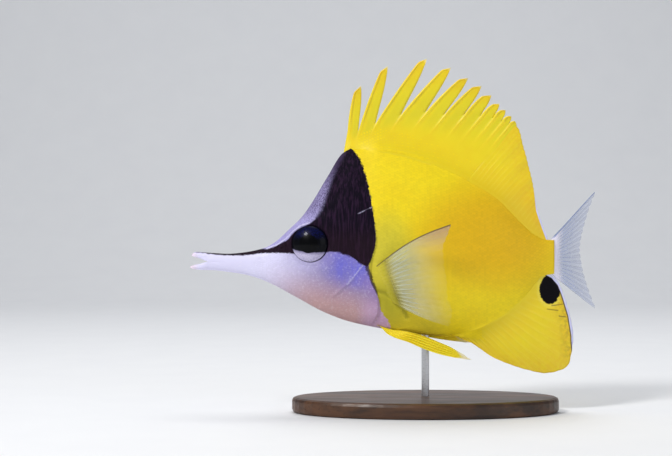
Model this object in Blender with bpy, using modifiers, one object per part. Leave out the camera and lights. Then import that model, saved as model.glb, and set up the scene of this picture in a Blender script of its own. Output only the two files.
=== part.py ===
# Longnose butterflyfish, life size, a still display model held by one rod on a plain base.
# Fish measures are in millimetres: s runs back from the tip of the upper jaw, h runs up from the body's axis,
# and y runs across, with the fish's left side at negative y. The world origin is under the middle of the base.

import math

import bmesh
import bpy
import numpy as np
from mathutils import Matrix, Vector

MM = 0.001
GAP = 0.3

# Whole fish and its place over the base
AXIS_HEIGHT = 61.2
BALANCE_S = 91.0
SWAY_START = 118.0
SWAY_RATE = 0.0054

# Body outline from the side, as (s, h)
TOP_LINE = (
    (8.0, 0.8), (14.0, 0.5), (20.0, 1.0), (24.6, 1.8), (29.4, 3.2), (32.4, 5.0), (37.6, 9.7), (43.2, 15.3),
    (47.5, 21.6), (52.7, 30.3), (59.0, 39.8), (61.5, 41.0), (70.0, 41.0), (81.0, 39.4), (95.0, 34.7),
    (107.0, 29.0), (118.0, 22.4), (129.0, 11.5), (134.0, 7.4), (138.0, 6.0), (142.0, 5.8),
)
BOTTOM_LINE = (
    (8.0, -5.9), (14.4, -6.6), (20.7, -7.6), (25.7, -9.0), (30.8, -11.1), (41.0, -16.6), (51.9, -22.4),
    (60.8, -25.7), (73.0, -28.4), (88.0, -30.8), (95.0, -31.4), (108.0, -29.6), (120.0, -24.0),
    (130.0, -15.6), (137.0, -8.2), (142.0, -7.2),
)
HALF_WIDTH = (
    (8.0, 2.5), (20.0, 2.8), (30.0, 4.1), (39.0, 6.2), (46.0, 7.9), (54.0, 9.1), (64.0, 10.1), (76.0, 10.9),
    (90.0, 10.8), (105.0, 9.2), (120.0, 6.4), (132.0, 3.9), (138.0, 2.9), (142.0, 2.6),
)
TOP_KEEL = ((8.0, 0.3), (44.0, 0.4), (58.0, 1.1), (64.0, 1.3), (142.0, 1.3))
BOTTOM_KEEL = ((8.0, 0.3), (60.0, 0.8), (90.0, 1.3), (142.0, 1.2))
FULLNESS = ((8.0, 0.5), (26.0, 0.52), (50.0, 0.68), (140.0, 0.72))

# Cuts between the pieces of the body
JAW_END = 7.9
SNOUT_END = 31.0
TRUNK_END = 137.0
STALK_END = 141.0
GILL_EDGE = (
    (59.2, 52.0), (59.6, 40.8), (64.0, 35.5), (67.1, 29.2), (68.8, 24.2), (71.0, 10.7), (71.4, 5.5),
    (70.2, 0.4), (69.2, -4.5), (69.6, -9.4), (71.0, -12.6), (72.4, -17.5), (72.4, -21.5), (71.0, -25.5),
    (68.5, -29.0), (66.0, -40.0),
)
GILL_COVER_LIFT = 0.55
GILL_COVER_REACH = 9.0
CHEEK_EDGE = ((67.0, -3.0), (61.0, -10.5), (55.5, -15.5))
CHEEK_EDGE_LIFT = 0.35

# Jaws, as (s, h) along the upper and lower side of each
UPPER_JAW_TOP = ((0.0, 0.0), (0.7, 0.9), (2.4, 1.2), (5.0, 1.0), (7.7, 0.8))
UPPER_JAW_MOUTH = ((0.0, -0.2), (1.0, -0.8), (3.2, -1.3), (5.9, -2.45), (7.7, -2.5))
LOWER_JAW_MOUTH = ((-0.6, -4.5), (0.8, -3.8), (3.0, -3.4), (5.9, -2.8), (7.7, -2.8))
LOWER_JAW_BOTTOM = ((-0.6, -4.8), (0.4, -5.3), (2.0, -5.6), (5.0, -5.8), (7.7, -5.9))
JAW_HALF_WIDTH = ((-0.6, 0.7), (0.4, 1.35), (2.2, 1.75), (7.7, 2.45))
LIP_SWELL = 0.22

# Eyes and nostrils
EYE_S = 46.2
EYE_H = 4.4
EYE_RADIUS = 7.5
EYE_HALF_DEPTH = 4.0
EYE_OUT = 5.5
EYE_TURN = 10.0
EYE_RIM_LIFT = 0.35
NOSTRILS = ((36.6, 3.4), (35.2, 2.7))
NOSTRIL_RADIUS = 0.55

# Dorsal spines: root on the back as s, notch in front of the spine and tip as (s, h)
DORSAL_SPINES = (
    (60.8, (60.6, 49.5), (65.9, 66.1)),
    (62.6, (65.1, 49.9), (76.4, 73.7)),
    (65.4, (72.2, 52.1), (91.7, 76.6)),
    (71.0, (81.5, 54.6), (101.0, 73.1)),
    (77.4, (91.1, 55.6), (107.8, 69.1)),
    (83.8, (98.3, 54.6), (113.0, 66.0)),
    (89.6, (106.1, 54.6), (116.8, 62.4)),
    (94.4, (112.5, 54.2), (119.9, 59.0)),
    (98.6, (117.2, 53.4), (122.3, 56.6)),
    (102.0, (120.6, 52.0), (124.6, 54.2)),
    (105.0, (123.4, 50.8), (126.1, 52.2)),
)
SPINY_FIN_END = (107.8, (126.4, 50.4))
SPINE_RADIUS = 0.75
SPINE_TIP_WIDTH = 1.5

# Soft fins: the margin that the rays reach, from the first ray to the last
SOFT_DORSAL_ROOTS = (108.1, 136.6)
SOFT_DORSAL_MARGIN = (
    (126.8, 50.2), (129.1, 43.3), (131.0, 36.4), (133.2, 27.3), (134.9, 17.2), (137.0, 10.7), (138.0, 6.9),
)
SOFT_DORSAL_RAYS = 22
ANAL_ROOTS = (99.5, 136.6)
ANAL_MARGIN = (
    (106.0, -33.2), (109.8, -34.8), (113.2, -37.2), (116.8, -39.6), (124.0, -42.7), (131.0, -44.9),
    (138.0, -46.2), (143.9, -45.1), (146.9, -43.2), (148.3, -37.0), (148.8, -32.0), (147.6, -23.8),
    (144.9, -15.2), (141.1, -9.4), (138.2, -8.3),
)
ANAL_SPINES = 3
ANAL_RAYS = 18
TAIL_RAYS = 17
TAIL_MIDDLE = 15.0
TAIL_LOBE = 20.5
TAIL_HALF_SPREAD = 23.1
TAIL_MIDDLE_H = 1.7
TAIL_TURN_MIDDLE = 46.0
TAIL_TURN_LOBE = 27.0

# Thickness of fins, from a fleshy root to the edge
FIN_EDGE_HALF = 0.27
FIN_ROOT_FADE = 5.0
RAY_LIFT = 0.22

# Side fins
PECTORAL_ROOT = ((72.4, -4.4), (78.0, -16.4))
PECTORAL_MARGIN = (
    (99.6, 12.1), (98.4, 8.4), (96.6, 3.0), (97.0, -3.5), (98.0, -9.0), (98.4, -15.5), (100.2, -21.0),
    (99.1, -27.0),
)
PECTORAL_RAYS = 15
PECTORAL_FLARE = 24.0
PELVIC_ROOT = (73.0, 77.6)
PELVIC_UPPER = ((77.6, -30.2), (85.0, -32.0), (92.0, -33.3), (98.0, -35.4), (104.5, -38.9), (108.6, -40.6))
PELVIC_LOWER = ((73.0, -29.4), (79.0, -31.9), (86.0, -34.6), (92.0, -37.3), (98.5, -39.3), (108.6, -40.9))
PELVIC_SIDE = 3.6
PELVIC_FLARE = 4.0

# Stand
BASE_LENGTH = 104.0
BASE_WIDTH = 58.0
BASE_HEIGHT = 6.0
BASE_ROUND = 1.4
ROD_RADIUS = 1.5
ROD_DEPTH_IN_BODY = 9.0


def through(points):
    """A smooth curve through the points, with no overshoot between them."""
    xs, ys = (np.array(column, float) for column in zip(*points))
    steps = np.diff(xs)
    slopes = np.diff(ys) / steps
    tangents = np.zeros(len(xs))
    tangents[0], tangents[-1] = slopes[0], slopes[-1]
    for i in range(1, len(xs) - 1):
        before, after = slopes[i - 1], slopes[i]
        if before * after > 0:
            near, far = 2 * steps[i] + steps[i - 1], steps[i] + 2 * steps[i - 1]
            tangents[i] = (near + far) / (near / before + far / after)

    def at(x):
        x = min(max(x, xs[0]), xs[-1])
        i = min(int(np.searchsorted(xs, x, side="right")) - 1, len(steps) - 1)
        t = (x - xs[i]) / steps[i]
        rise = ys[i] * (1 + 2 * t) * (1 - t) ** 2 + ys[i + 1] * t * t * (3 - 2 * t)
        return float(rise + steps[i] * (tangents[i] * t * (1 - t) ** 2 - tangents[i + 1] * t * t * (1 - t)))

    return at


def along(points):
    """A smooth curve in the plane through the points, by its share of length from 0 to 1."""
    run = np.concatenate(([0.0], np.cumsum([math.dist(a, b) for a, b in zip(points, points[1:])])))
    run /= run[-1]
    first = through([(t, p[0]) for t, p in zip(run, points)])
    second = through([(t, p[1]) for t, p in zip(run, points)])
    return lambda t: np.array([first(t), second(t)])


top = through(TOP_LINE)
bottom = through(BOTTOM_LINE)
half_width = through(HALF_WIDTH)
top_keel = through(TOP_KEEL)
bottom_keel = through(BOTTOM_KEEL)
fullness = through(FULLNESS)
gill_edge_s = through([(-h, s) for s, h in GILL_EDGE])


def ease(x):
    """A soft step from 0 to 1."""
    x = min(max(x, 0.0), 1.0)
    return x * x * (3 - 2 * x)


def sway(s):
    """How far the rear of the fish swings to its right."""
    return SWAY_RATE * max(0.0, s - SWAY_START) ** 2


def place(s, y, h):
    """The world point of a point of the fish."""
    return Vector(((s - BALANCE_S) * MM, (y + sway(s)) * MM, (h + AXIS_HEIGHT) * MM))


def side_width(s, h):
    """Half the body's width at a height."""
    middle, half = (top(s) + bottom(s)) / 2, (top(s) - bottom(s)) / 2
    rise = min(max((h - middle) / half, -1.0), 1.0)
    keel = top_keel(s) if rise > 0 else bottom_keel(s)
    return keel + (half_width(s) - keel) * (1 - rise * rise) ** fullness(s)


def underside(s, y):
    """The height of the belly's surface at a distance to the side."""
    low, high = bottom(s), (top(s) + bottom(s)) / 2
    for _ in range(30):
        middle = (low + high) / 2
        low, high = (middle, high) if side_width(s, middle) < abs(y) else (low, middle)
    return (low + high) / 2


def distance_to_line(point, line):
    """The nearest distance from a point to a run of straight lines."""
    nearest = 1e9
    for a, b in zip(line, line[1:]):
        a, b, p = np.array(a), np.array(b), np.array(point)
        share = min(max(float(np.dot(p - a, b - a) / np.dot(b - a, b - a)), 0.0), 1.0)
        nearest = min(nearest, float(np.linalg.norm(p - a - share * (b - a))))
    return nearest


def head_relief(s, h):
    """How far the gill cover, the cheek's edge and the rim of the eye stand out of the head."""
    to_edge = gill_edge_s(-h) - s
    low_down = ease((12.0 - h) / 6.0) * ease((h - bottom(s)) / 6.0)
    lift = GILL_COVER_LIFT * low_down * ease(1 - to_edge / GILL_COVER_REACH)
    lift += CHEEK_EDGE_LIFT * ease(1 - distance_to_line((s, h), CHEEK_EDGE) / 2.0)
    to_rim = abs(math.hypot(s - EYE_S, h - EYE_H) - EYE_RADIUS - 0.5)
    return lift + EYE_RIM_LIFT * ease(1 - to_rim / 2.0)


def mesh_object(name, vertices, faces, parts):
    """A new object from world points and faces, its faces turned outward."""
    mesh = bpy.data.meshes.new(name)
    mesh.from_pydata([tuple(v) for v in vertices], [], faces)
    shape = bmesh.new()
    shape.from_mesh(mesh)
    bmesh.ops.recalc_face_normals(shape, faces=shape.faces)
    shape.to_mesh(mesh)
    shape.free()
    piece = bpy.data.objects.new(name, mesh)
    parts.objects.link(piece)
    return piece


def body_length(name, start, end, count, steps, parts, relief=None):
    """A length of the body, lofted through its sections, with flat ends."""
    rings = []
    for s in np.linspace(start, end, count):
        middle, half = (top(s) + bottom(s)) / 2, (top(s) - bottom(s)) / 2
        side = []
        for angle in np.linspace(-math.pi / 2, math.pi / 2, steps + 1):
            h = middle + half * math.sin(angle)
            keel = top_keel(s) if angle > 0 else bottom_keel(s)
            y = keel + (half_width(s) - keel) * max(math.cos(angle), 0.0) ** (2 * fullness(s))
            inside = 0 < abs(math.cos(angle)) and abs(angle) < 1.5
            side.append((y + (relief(s, h) if relief and inside else 0.0), h))
        right = [place(s, y, h) for y, h in side]
        left = [place(s, -y, h) for y, h in reversed(side)]
        rings.append(right + left)
    return loft(name, rings, parts)


def loft(name, rings, parts):
    """A closed body through rings of equal count, whose halves mirror each other, with ladder-shaped ends."""
    size = len(rings[0])
    vertices = [v for ring in rings for v in ring]
    faces = []
    for k in range(len(rings) - 1):
        for i in range(size):
            j = (i + 1) % size
            faces.append((k * size + i, k * size + j, (k + 1) * size + j, (k + 1) * size + i))
    for first in (0, (len(rings) - 1) * size):
        for i in range(size // 2 - 1):
            faces.append((first + i, first + i + 1, first + size - 2 - i, first + size - 1 - i))
    return mesh_object(name, vertices, faces, parts)


def outline_block(name, outline, half_depth, cutters):
    """A cutter with an outline seen from the side, given as (s, h), and a depth across the fish."""
    curve = bpy.data.curves.new(name, "CURVE")
    curve.dimensions = "2D"
    curve.fill_mode = "BOTH"
    curve.extrude = half_depth * MM
    spline = curve.splines.new("POLY")
    spline.points.add(len(outline) - 1)
    spline.use_cyclic_u = True
    for point, (s, h) in zip(spline.points, outline):
        point.co = ((s - BALANCE_S) * MM, (h + AXIS_HEIGHT) * MM, 0.0, 1.0)
    flat = bpy.data.objects.new(name + "_outline", curve)
    flat.matrix_world = Matrix.Rotation(math.pi / 2, 4, "X")
    cutters.objects.link(flat)
    return as_mesh(flat, name, cutters)


def as_mesh(curve_object, name, group):
    """The curve's shape as a mesh object in the same place, its caps welded; the curve is removed."""
    bpy.context.view_layer.update()
    evaluated = curve_object.evaluated_get(bpy.context.evaluated_depsgraph_get())
    mesh = bpy.data.meshes.new_from_object(evaluated)
    shape = bmesh.new()
    shape.from_mesh(mesh)
    bmesh.ops.remove_doubles(shape, verts=shape.verts, dist=0.000001)
    bmesh.ops.recalc_face_normals(shape, faces=shape.faces)
    shape.to_mesh(mesh)
    shape.free()
    piece = bpy.data.objects.new(name, mesh)
    piece.matrix_world = curve_object.matrix_world.copy()
    group.objects.link(piece)
    bpy.data.objects.remove(curve_object)
    return piece


def cut(piece, cutter):
    """Takes the cutter's shape out of the piece."""
    cutter.hide_render = True
    cutter.display_type = "WIRE"
    difference = piece.modifiers.new("Cut " + cutter.name, "BOOLEAN")
    difference.operation = "DIFFERENCE"
    difference.solver = "EXACT"
    difference.object = cutter


def ball(name, radius, depth, centre, turn, segments, rings, group):
    """A flattened ball that looks out to one side, turned by an angle about the vertical."""
    mesh = bpy.data.meshes.new(name)
    shape = bmesh.new()
    bmesh.ops.create_uvsphere(shape, u_segments=segments, v_segments=rings, radius=1.0)
    size = Matrix.Diagonal((radius * MM, radius * MM, depth * MM, 1.0))
    facing = Matrix.Rotation(math.pi / 2, 4, "X")
    bmesh.ops.transform(shape, matrix=facing @ size, verts=shape.verts)
    shape.to_mesh(mesh)
    shape.free()
    mesh.shade_smooth()
    piece = bpy.data.objects.new(name, mesh)
    piece.location = centre
    piece.rotation_euler = (0.0, 0.0, math.radians(turn))
    group.objects.link(piece)
    return piece


def two_sided(name, near, far, faces, parts):
    """A thin body between two sheets of points with the same triangles, closed round its border."""
    count = len(near)
    triangles = []
    for face in faces:
        triangles += [(face[0], face[i], face[i + 1]) for i in range(1, len(face) - 1)]
    edges = {}
    for tri in triangles:
        for a, b in zip(tri, tri[1:] + tri[:1]):
            edges[(a, b)] = True
    rim = [(a, b) for a, b in edges if (b, a) not in edges]
    solid = [tri for tri in triangles]
    solid += [tuple(count + i for i in reversed(tri)) for tri in triangles]
    for a, b in rim:
        solid += [(b, a, count + a), (b, count + a, count + b)]
    return mesh_object(name, list(near) + list(far), solid, parts)


def strip_faces(columns):
    """The cells between neighbouring columns of point numbers with equal counts."""
    faces = []
    for left, right in zip(columns, columns[1:]):
        for k in range(len(left) - 1):
            cell = [left[k], right[k], right[k + 1], left[k + 1]]
            faces.append([n for i, n in enumerate(cell) if n != cell[i - 1]])
    return faces


def fin_half(distance, root_half):
    """Half the thickness of a fin's membrane at a distance from its fleshy root."""
    return FIN_EDGE_HALF + (root_half - FIN_EDGE_HALF) * math.exp(-((distance / FIN_ROOT_FADE) ** 1.5))


def flat_fin(name, points, halves, faces, parts):
    """An upright fin from points (s, h) and half thicknesses, on the swaying middle plane of the fish."""
    near = [place(s, -half, h) for (s, h), half in zip(points, halves)]
    far = [place(s, half, h) for (s, h), half in zip(points, halves)]
    return two_sided(name, near, far, faces, parts)


def spine_line(root, notch, tip):
    """The front edge of a dorsal spine: a gentle bow from its root past the notch to its tip."""
    return along((root, notch, tip))


def dorsal_spiny_fin(parts):
    """Eleven free spine tips over one membrane, each with its own flag of skin behind it."""
    low_rows, high_rows = 4, 4
    lines = []
    for s, notch, tip in DORSAL_SPINES:
        lines.append(spine_line((s, top(s) + GAP), notch, tip))
    end_s, end_tip = SPINY_FIN_END
    last = along(((end_s, top(end_s) + GAP), end_tip))
    points, halves = [], []

    def add(point, half):
        points.append((float(point[0]), float(point[1])))
        halves.append(half)
        return len(points) - 1

    def share_at(line, target):
        return min(np.linspace(0, 1, 201), key=lambda t: float(np.linalg.norm(line(t) - np.array(target))))

    notches = [notch for _, notch, _ in DORSAL_SPINES] + [end_tip]
    shares = [share_at(line, notch) for line, notch in zip(lines, notches)]
    shares.append(1.0)
    lines.append(last)
    shared = []
    for line, share in zip(lines, shares):
        column = []
        for k in range(low_rows + 1):
            at = line(share * k / low_rows)
            out = float(np.linalg.norm(at - line(0.0)))
            column.append(add(at, fin_half(out, top_keel(at[0]) - 0.1)))
        shared.append(column)
    faces = []
    for number, (_, _, tip) in enumerate(DORSAL_SPINES):
        line, front_share = lines[number], shares[number]
        back_share = share_at(line, points[shared[number + 1][-1]])
        tip = np.array(tip)
        heading = (tip - line(0.9)) / np.linalg.norm(tip - line(0.9))
        across = np.array([heading[1], -heading[0]])
        crest, foot = [], []
        for column, offset, lean, lift in ((crest, 1.0, 0.25, 1.0), (foot, 2.0, 0.5, 0.0)):
            level = front_share + (back_share - front_share) * lean
            level = min(level, 0.8)
            for k in range(low_rows + high_rows + 1):
                if k <= low_rows:
                    t = level * k / low_rows
                else:
                    t = level + (1 - level) * (k - low_rows) / high_rows
                taper = 1 - 0.62 * t
                at = line(t) + across * offset * SPINE_RADIUS * taper
                if column is foot and k == low_rows + high_rows:
                    at = tip + across * SPINE_TIP_WIDTH * 0.6 - heading * 0.5
                if column is crest and k == low_rows + high_rows:
                    at = tip + across * SPINE_TIP_WIDTH * 0.25 + heading * 0.35
                if k == 0:
                    at = np.array([line(0.0)[0] + offset * SPINE_RADIUS, 0.0])
                    at[1] = top(at[0]) + GAP
                out = float(np.linalg.norm(at - line(0.0)))
                half = fin_half(out, top_keel(at[0]) - 0.1)
                ridge = SPINE_RADIUS * taper * lift * ease(out / 6.0) * (1 - 0.55 * ease((t - 0.6) / 0.4))
                column.append(add(at, max(half, ridge)))
        front = list(shared[number])
        back = list(shared[number + 1])
        notch_end = np.array(points[back[-1]])
        tip_back = tip + across * SPINE_TIP_WIDTH - heading * 1.1
        for k in range(1, high_rows + 1):
            at = line(front_share + (1 - front_share) * k / high_rows)
            front.append(add(at, FIN_EDGE_HALF))
            reach = k / high_rows
            swell = across * 1.3 * math.sin(math.pi * reach) * min(1.0, np.linalg.norm(tip_back - notch_end) / 14)
            back.append(add(notch_end + (tip_back - notch_end) * reach + swell, FIN_EDGE_HALF))
        faces += strip_faces([front, crest, foot, back])
    return flat_fin("dorsal_fin_spiny", points, halves, faces, parts)


def rayed_fin(name, roots, margin, root_side, spacing, first_spines, parts, rows=6):
    """A soft fin whose rays fan from a line on the body to its free margin; returns the object."""
    edge = along(margin)
    count = spacing
    points, halves, columns = [], [], []
    for c in range(2 * count + 1):
        share = c / (2 * count)
        root_s = roots[0] + (roots[1] - roots[0]) * share
        line_h = top if root_side > 0 else bottom
        keel = (top_keel if root_side > 0 else bottom_keel)(root_s) - 0.1
        root = np.array([root_s, line_h(root_s) + root_side * GAP])
        tip = edge(share)
        crest = c % 2 == 1
        spine = crest and c < 2 * first_spines
        length = float(np.linalg.norm(tip - root))
        column = []
        for k in range(rows + 1):
            reach = k / rows
            at = root + (tip - root) * reach
            if not crest and 0 < c < 2 * count and k == rows:
                at = root + (tip - root) * (1 - 0.35 / max(length, 1.0))
            half = fin_half(length * reach, keel)
            if crest:
                strength = 0.55 if spine else RAY_LIFT
                half += strength * ease(length * reach / 5.0) * (1 - 0.7 * reach)
            column.append(len(points))
            points.append((float(at[0]), float(at[1])))
            halves.append(half)
        columns.append(column)
    return flat_fin(name, points, halves, strip_faces(columns), parts)


def tail_fin(parts):
    """The tail fin, its middle turned further to the fish's right than its lobes."""
    rows = 6
    start = STALK_END + GAP
    low, high = bottom(STALK_END) + 0.4, top(STALK_END) - 0.4
    near, far, columns = [], [], []
    for c in range(2 * TAIL_RAYS + 1):
        v = 1 - c / TAIL_RAYS
        share = (v + 1) / 2
        root = np.array([0.0, low + (high - low) * share])
        reach_back = TAIL_MIDDLE + (TAIL_LOBE - TAIL_MIDDLE) * abs(v) ** 1.8
        tip = np.array([reach_back, TAIL_MIDDLE_H + TAIL_HALF_SPREAD * math.copysign(abs(v) ** 1.08, v)])
        turn_end = TAIL_TURN_MIDDLE + (TAIL_TURN_LOBE - TAIL_TURN_MIDDLE) * abs(v) ** 1.5
        column = []
        for k in range(rows + 1):
            reach = k / rows
            out = root[0] + (tip[0] - root[0]) * reach
            h = root[1] + (tip[1] - root[1]) * (reach ** 0.9)
            start_turn = math.degrees(2 * SWAY_RATE * (start - SWAY_START))
            turn = math.radians(start_turn + (turn_end - start_turn) * ease(0.25 + 0.75 * reach) * min(1, 3 * reach))
            half = fin_half(out * 1.4, 2.1 * math.sqrt(max(1 - (0.8 * v) ** 2, 0.1)))
            if c % 2 == 1:
                half += RAY_LIFT * ease(out / 4.0) * (1 - 0.75 * reach)
            if c in (0, 2 * TAIL_RAYS):
                half += 0.12 * (1 - reach)
            s, y = start + out * math.cos(turn), sway(start) + out * math.sin(turn)
            normal = Vector((-math.sin(turn), math.cos(turn), 0.0))
            if k == 0:
                normal = Vector((0.0, 1.0, 0.0))
            middle = Vector(((s - BALANCE_S) * MM, y * MM, (h + AXIS_HEIGHT) * MM))
            column.append(len(near))
            near.append(middle - normal * half * MM)
            far.append(middle + normal * half * MM)
        columns.append(column)
    return two_sided("tail_fin", near, far, strip_faces(columns), parts)


def pectoral_fin(name, side, parts):
    """A spread side fin that leaves the body at a shallow angle and fans back."""
    rows = 6
    edge = along(PECTORAL_MARGIN)
    (s_high, h_high), (s_low, h_low) = PECTORAL_ROOT
    flare = math.tan(math.radians(PECTORAL_FLARE))
    near, far, columns = [], [], []
    for c in range(2 * PECTORAL_RAYS + 1):
        share = c / (2 * PECTORAL_RAYS)
        root = np.array([s_high + (s_low - s_high) * share, h_high + (h_low - h_high) * share])
        tip = edge(share)
        length = float(np.linalg.norm(tip - root))
        out_root = side_width(root[0], root[1]) + GAP
        column = []
        for k in range(rows + 1):
            reach = k / rows
            at = root + (tip - root) * reach
            if c % 2 == 0 and 0 < c < 2 * PECTORAL_RAYS and k == rows:
                at = root + (tip - root) * (1 - 0.5 / length)
            s, h = float(at[0]), float(at[1])
            away = out_root + 1.2 * ease(reach * 3) + flare * (s - root[0]) * 0.92
            away += 1.4 * math.sin(math.pi * share) * reach
            half = fin_half(length * reach * 1.3, 1.2)
            if c % 2 == 1:
                half += RAY_LIFT * ease(length * reach / 4.0) * (1 - 0.75 * reach)
            column.append(len(near))
            if k == 0:
                front, back = s - 1.3, s + 1.3
                near.append(place(front, side * (side_width(front, h) + GAP), h))
                far.append(place(back, side * (side_width(back, h) + GAP), h))
            else:
                lean = math.radians(PECTORAL_FLARE)
                near.append(place(s - half * math.sin(lean), side * (away + half * math.cos(lean)), h))
                far.append(place(s + half * math.sin(lean), side * (away - half * math.cos(lean)), h))
        columns.append(column)
    return two_sided(name, near, far, strip_faces(columns), parts)


def pelvic_fin(name, side, parts):
    """A folded belly fin: a spine and five rays laid close together, trailing back under the belly."""
    rows, folds = 9, 10
    upper, lower = through(PELVIC_UPPER), through(PELVIC_LOWER)
    near, far, columns = [], [], []
    for c in range(folds + 1):
        share = c / folds
        root_s = PELVIC_ROOT[0] + (PELVIC_ROOT[1] - PELVIC_ROOT[0]) * share
        end_s = PELVIC_UPPER[-1][0] - 2.4 * abs(share - 0.45)
        column = []
        for k in range(rows + 1):
            reach = k / rows
            s = root_s + (end_s - root_s) * reach
            root_h = underside(root_s, PELVIC_SIDE) - GAP
            h = lower(s) + (upper(s) - lower(s)) * share
            h = root_h + (h - root_h) * ease(4.5 * reach)
            half = FIN_EDGE_HALF + 0.55 * (1 - reach) + (0.16 if c % 2 == 0 else 0.0) * (1 - 0.5 * reach)
            if k == 0:
                half = 0.9
            y = PELVIC_SIDE + math.tan(math.radians(PELVIC_FLARE)) * (s - PELVIC_ROOT[0])
            inner, outer = y - half, y + half
            column.append(len(near))
            if k == 0:
                near.append(place(s, side * outer, underside(s, outer) - GAP))
                far.append(place(s, side * inner, underside(s, inner) - GAP))
            else:
                near.append(place(s, side * outer, h))
                far.append(place(s, side * inner, h))
        columns.append(column)
    return two_sided(name, near, far, strip_faces(columns), parts)


def jaw(name, upper_line, lower_line, parts):
    """One half of the mouth: a short round-nosed bar with a swollen lip at its free end."""
    upper, lower, wide = through(upper_line), through(lower_line), through(JAW_HALF_WIDTH)
    start, end = upper_line[0][0], upper_line[-1][0]
    rings = []
    for t in (0.0, 0.05, 0.14, 0.28, 0.45, 0.62, 0.78, 0.9, 1.0):
        s = start + (end - start) * t
        swell = LIP_SWELL * math.exp(-(((t - 0.14) / 0.13) ** 2))
        low, high = lower(s) - swell * 0.4, upper(s) + swell * 0.4
        side = []
        for angle in np.linspace(-math.pi / 2, math.pi / 2, 9):
            middle, half = (low + high) / 2, (high - low) / 2
            y = 0.15 + (wide(s - start - 0.6) + swell - 0.15) * max(math.cos(angle), 0.0) ** 0.8
            side.append((y, middle + half * math.sin(angle)))
        rings.append([place(s, y, h) for y, h in side] + [place(s, -y, h) for y, h in reversed(side)])
    return loft(name, rings, parts)


def gill_edge(shift):
    """The line of the gill cover's edge and nape, moved back by a distance across itself."""
    edge = along(GILL_EDGE)
    line = []
    for t in np.linspace(0, 1, 29):
        at, ahead = edge(t), edge(min(t + 0.01, 1.0)) - edge(max(t - 0.01, 0.0))
        across = np.array([-ahead[1], ahead[0]]) / np.linalg.norm(ahead)
        line.append(tuple(at + across * shift))
    return line


def build_body(parts, cutters):
    """The body from the snout to the tail stalk, parted by thin cuts, with sockets for the eyes and rod."""
    body_length("snout", JAW_END + 0.1, SNOUT_END, 13, 10, parts)
    head = body_length("head", SNOUT_END + GAP, 80.0, 30, 15, parts, head_relief)
    trunk = body_length("trunk", 56.0, TRUNK_END, 36, 15, parts)
    body_length("tail_stalk", TRUNK_END + GAP, STALK_END, 4, 15, parts)
    behind = gill_edge(-GAP / 2) + [(120.0, -60.0), (120.0, 70.0)]
    ahead = gill_edge(GAP / 2) + [(20.0, -60.0), (20.0, 70.0)]
    cut(head, outline_block("behind_gill_edge", behind, 30.0, cutters))
    cut(trunk, outline_block("ahead_of_gill_edge", ahead, 30.0, cutters))
    for label, side in (("left", -1), ("right", 1)):
        eye_centre = place(EYE_S, side * EYE_OUT, EYE_H)
        socket = ball("eye_socket_" + label, EYE_RADIUS + GAP, EYE_HALF_DEPTH + GAP, eye_centre,
                      side * EYE_TURN, 24, 12, cutters)
        cut(head, socket)
        ball("eye_" + label, EYE_RADIUS, EYE_HALF_DEPTH, eye_centre, side * EYE_TURN, 24, 12, parts)
        for number, (s, h) in enumerate(NOSTRILS, 1):
            centre = place(s, side * side_width(s, h), h)
            pit = ball(f"nostril_{number}_{label}", NOSTRIL_RADIUS, NOSTRIL_RADIUS, centre, 0.0, 8, 6, cutters)
            cut(head, pit)
    rod_hole = upright_rod("rod_hole", ROD_RADIUS + GAP, 0.0, rod_top() + GAP, cutters)
    cut(trunk, rod_hole)


def rod_top():
    """How high the rod's end stands over the floor."""
    return AXIS_HEIGHT + bottom(BALANCE_S) + ROD_DEPTH_IN_BODY


def upright_rod(name, radius, low, high, group):
    """A round rod on the world's upright axis between two heights."""
    mesh = bpy.data.meshes.new(name)
    shape = bmesh.new()
    bmesh.ops.create_cone(shape, cap_ends=True, segments=20, radius1=radius * MM, radius2=radius * MM,
                          depth=(high - low) * MM)
    shape.to_mesh(mesh)
    shape.free()
    mesh.shade_smooth()
    mesh.set_sharp_from_angle(angle=math.radians(40))
    piece = bpy.data.objects.new(name, mesh)
    piece.location = (0.0, 0.0, (low + high) / 2 * MM)
    group.objects.link(piece)
    return piece


def build_stand(parts):
    """A flat oval base with a softened edge and one rod that runs up into the belly."""
    mesh = bpy.data.meshes.new("stand_base")
    shape = bmesh.new()
    bmesh.ops.create_cone(shape, cap_ends=True, segments=56, radius1=0.5, radius2=0.5, depth=1.0)
    size = Matrix.Diagonal((BASE_LENGTH * MM, BASE_WIDTH * MM, BASE_HEIGHT * MM, 1.0))
    bmesh.ops.transform(shape, matrix=size, verts=shape.verts)
    shape.to_mesh(mesh)
    shape.free()
    mesh.shade_smooth()
    base = bpy.data.objects.new("stand_base", mesh)
    base.location = (0.0, 0.0, BASE_HEIGHT / 2 * MM)
    parts.objects.link(base)
    rounding = base.modifiers.new("Softened edge", "BEVEL")
    rounding.width = BASE_ROUND * MM
    rounding.segments = 2
    rounding.limit_method = "ANGLE"
    rounding.angle_limit = math.radians(50)
    upright_rod("stand_rod", ROD_RADIUS, BASE_HEIGHT + GAP, rod_top(), parts)


FINISHES = {
    "head": ((0.035, 0.02, 0.04), 0.45, 0.0),
    "snout": ((0.55, 0.52, 0.72), 0.4, 0.0),
    "upper_jaw": ((0.45, 0.38, 0.55), 0.4, 0.0),
    "lower_jaw": ((0.8, 0.7, 0.8), 0.4, 0.0),
    "eye_left": ((0.005, 0.006, 0.02), 0.1, 0.0),
    "eye_right": ((0.005, 0.006, 0.02), 0.1, 0.0),
    "tail_fin": ((0.3, 0.4, 0.6), 0.4, 0.0),
    "stand_base": ((0.09, 0.045, 0.02), 0.35, 0.0),
    "stand_rod": ((0.55, 0.55, 0.56), 0.3, 1.0),
}
YELLOW = ((0.80, 0.55, 0.03), 0.42, 0.0)


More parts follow.
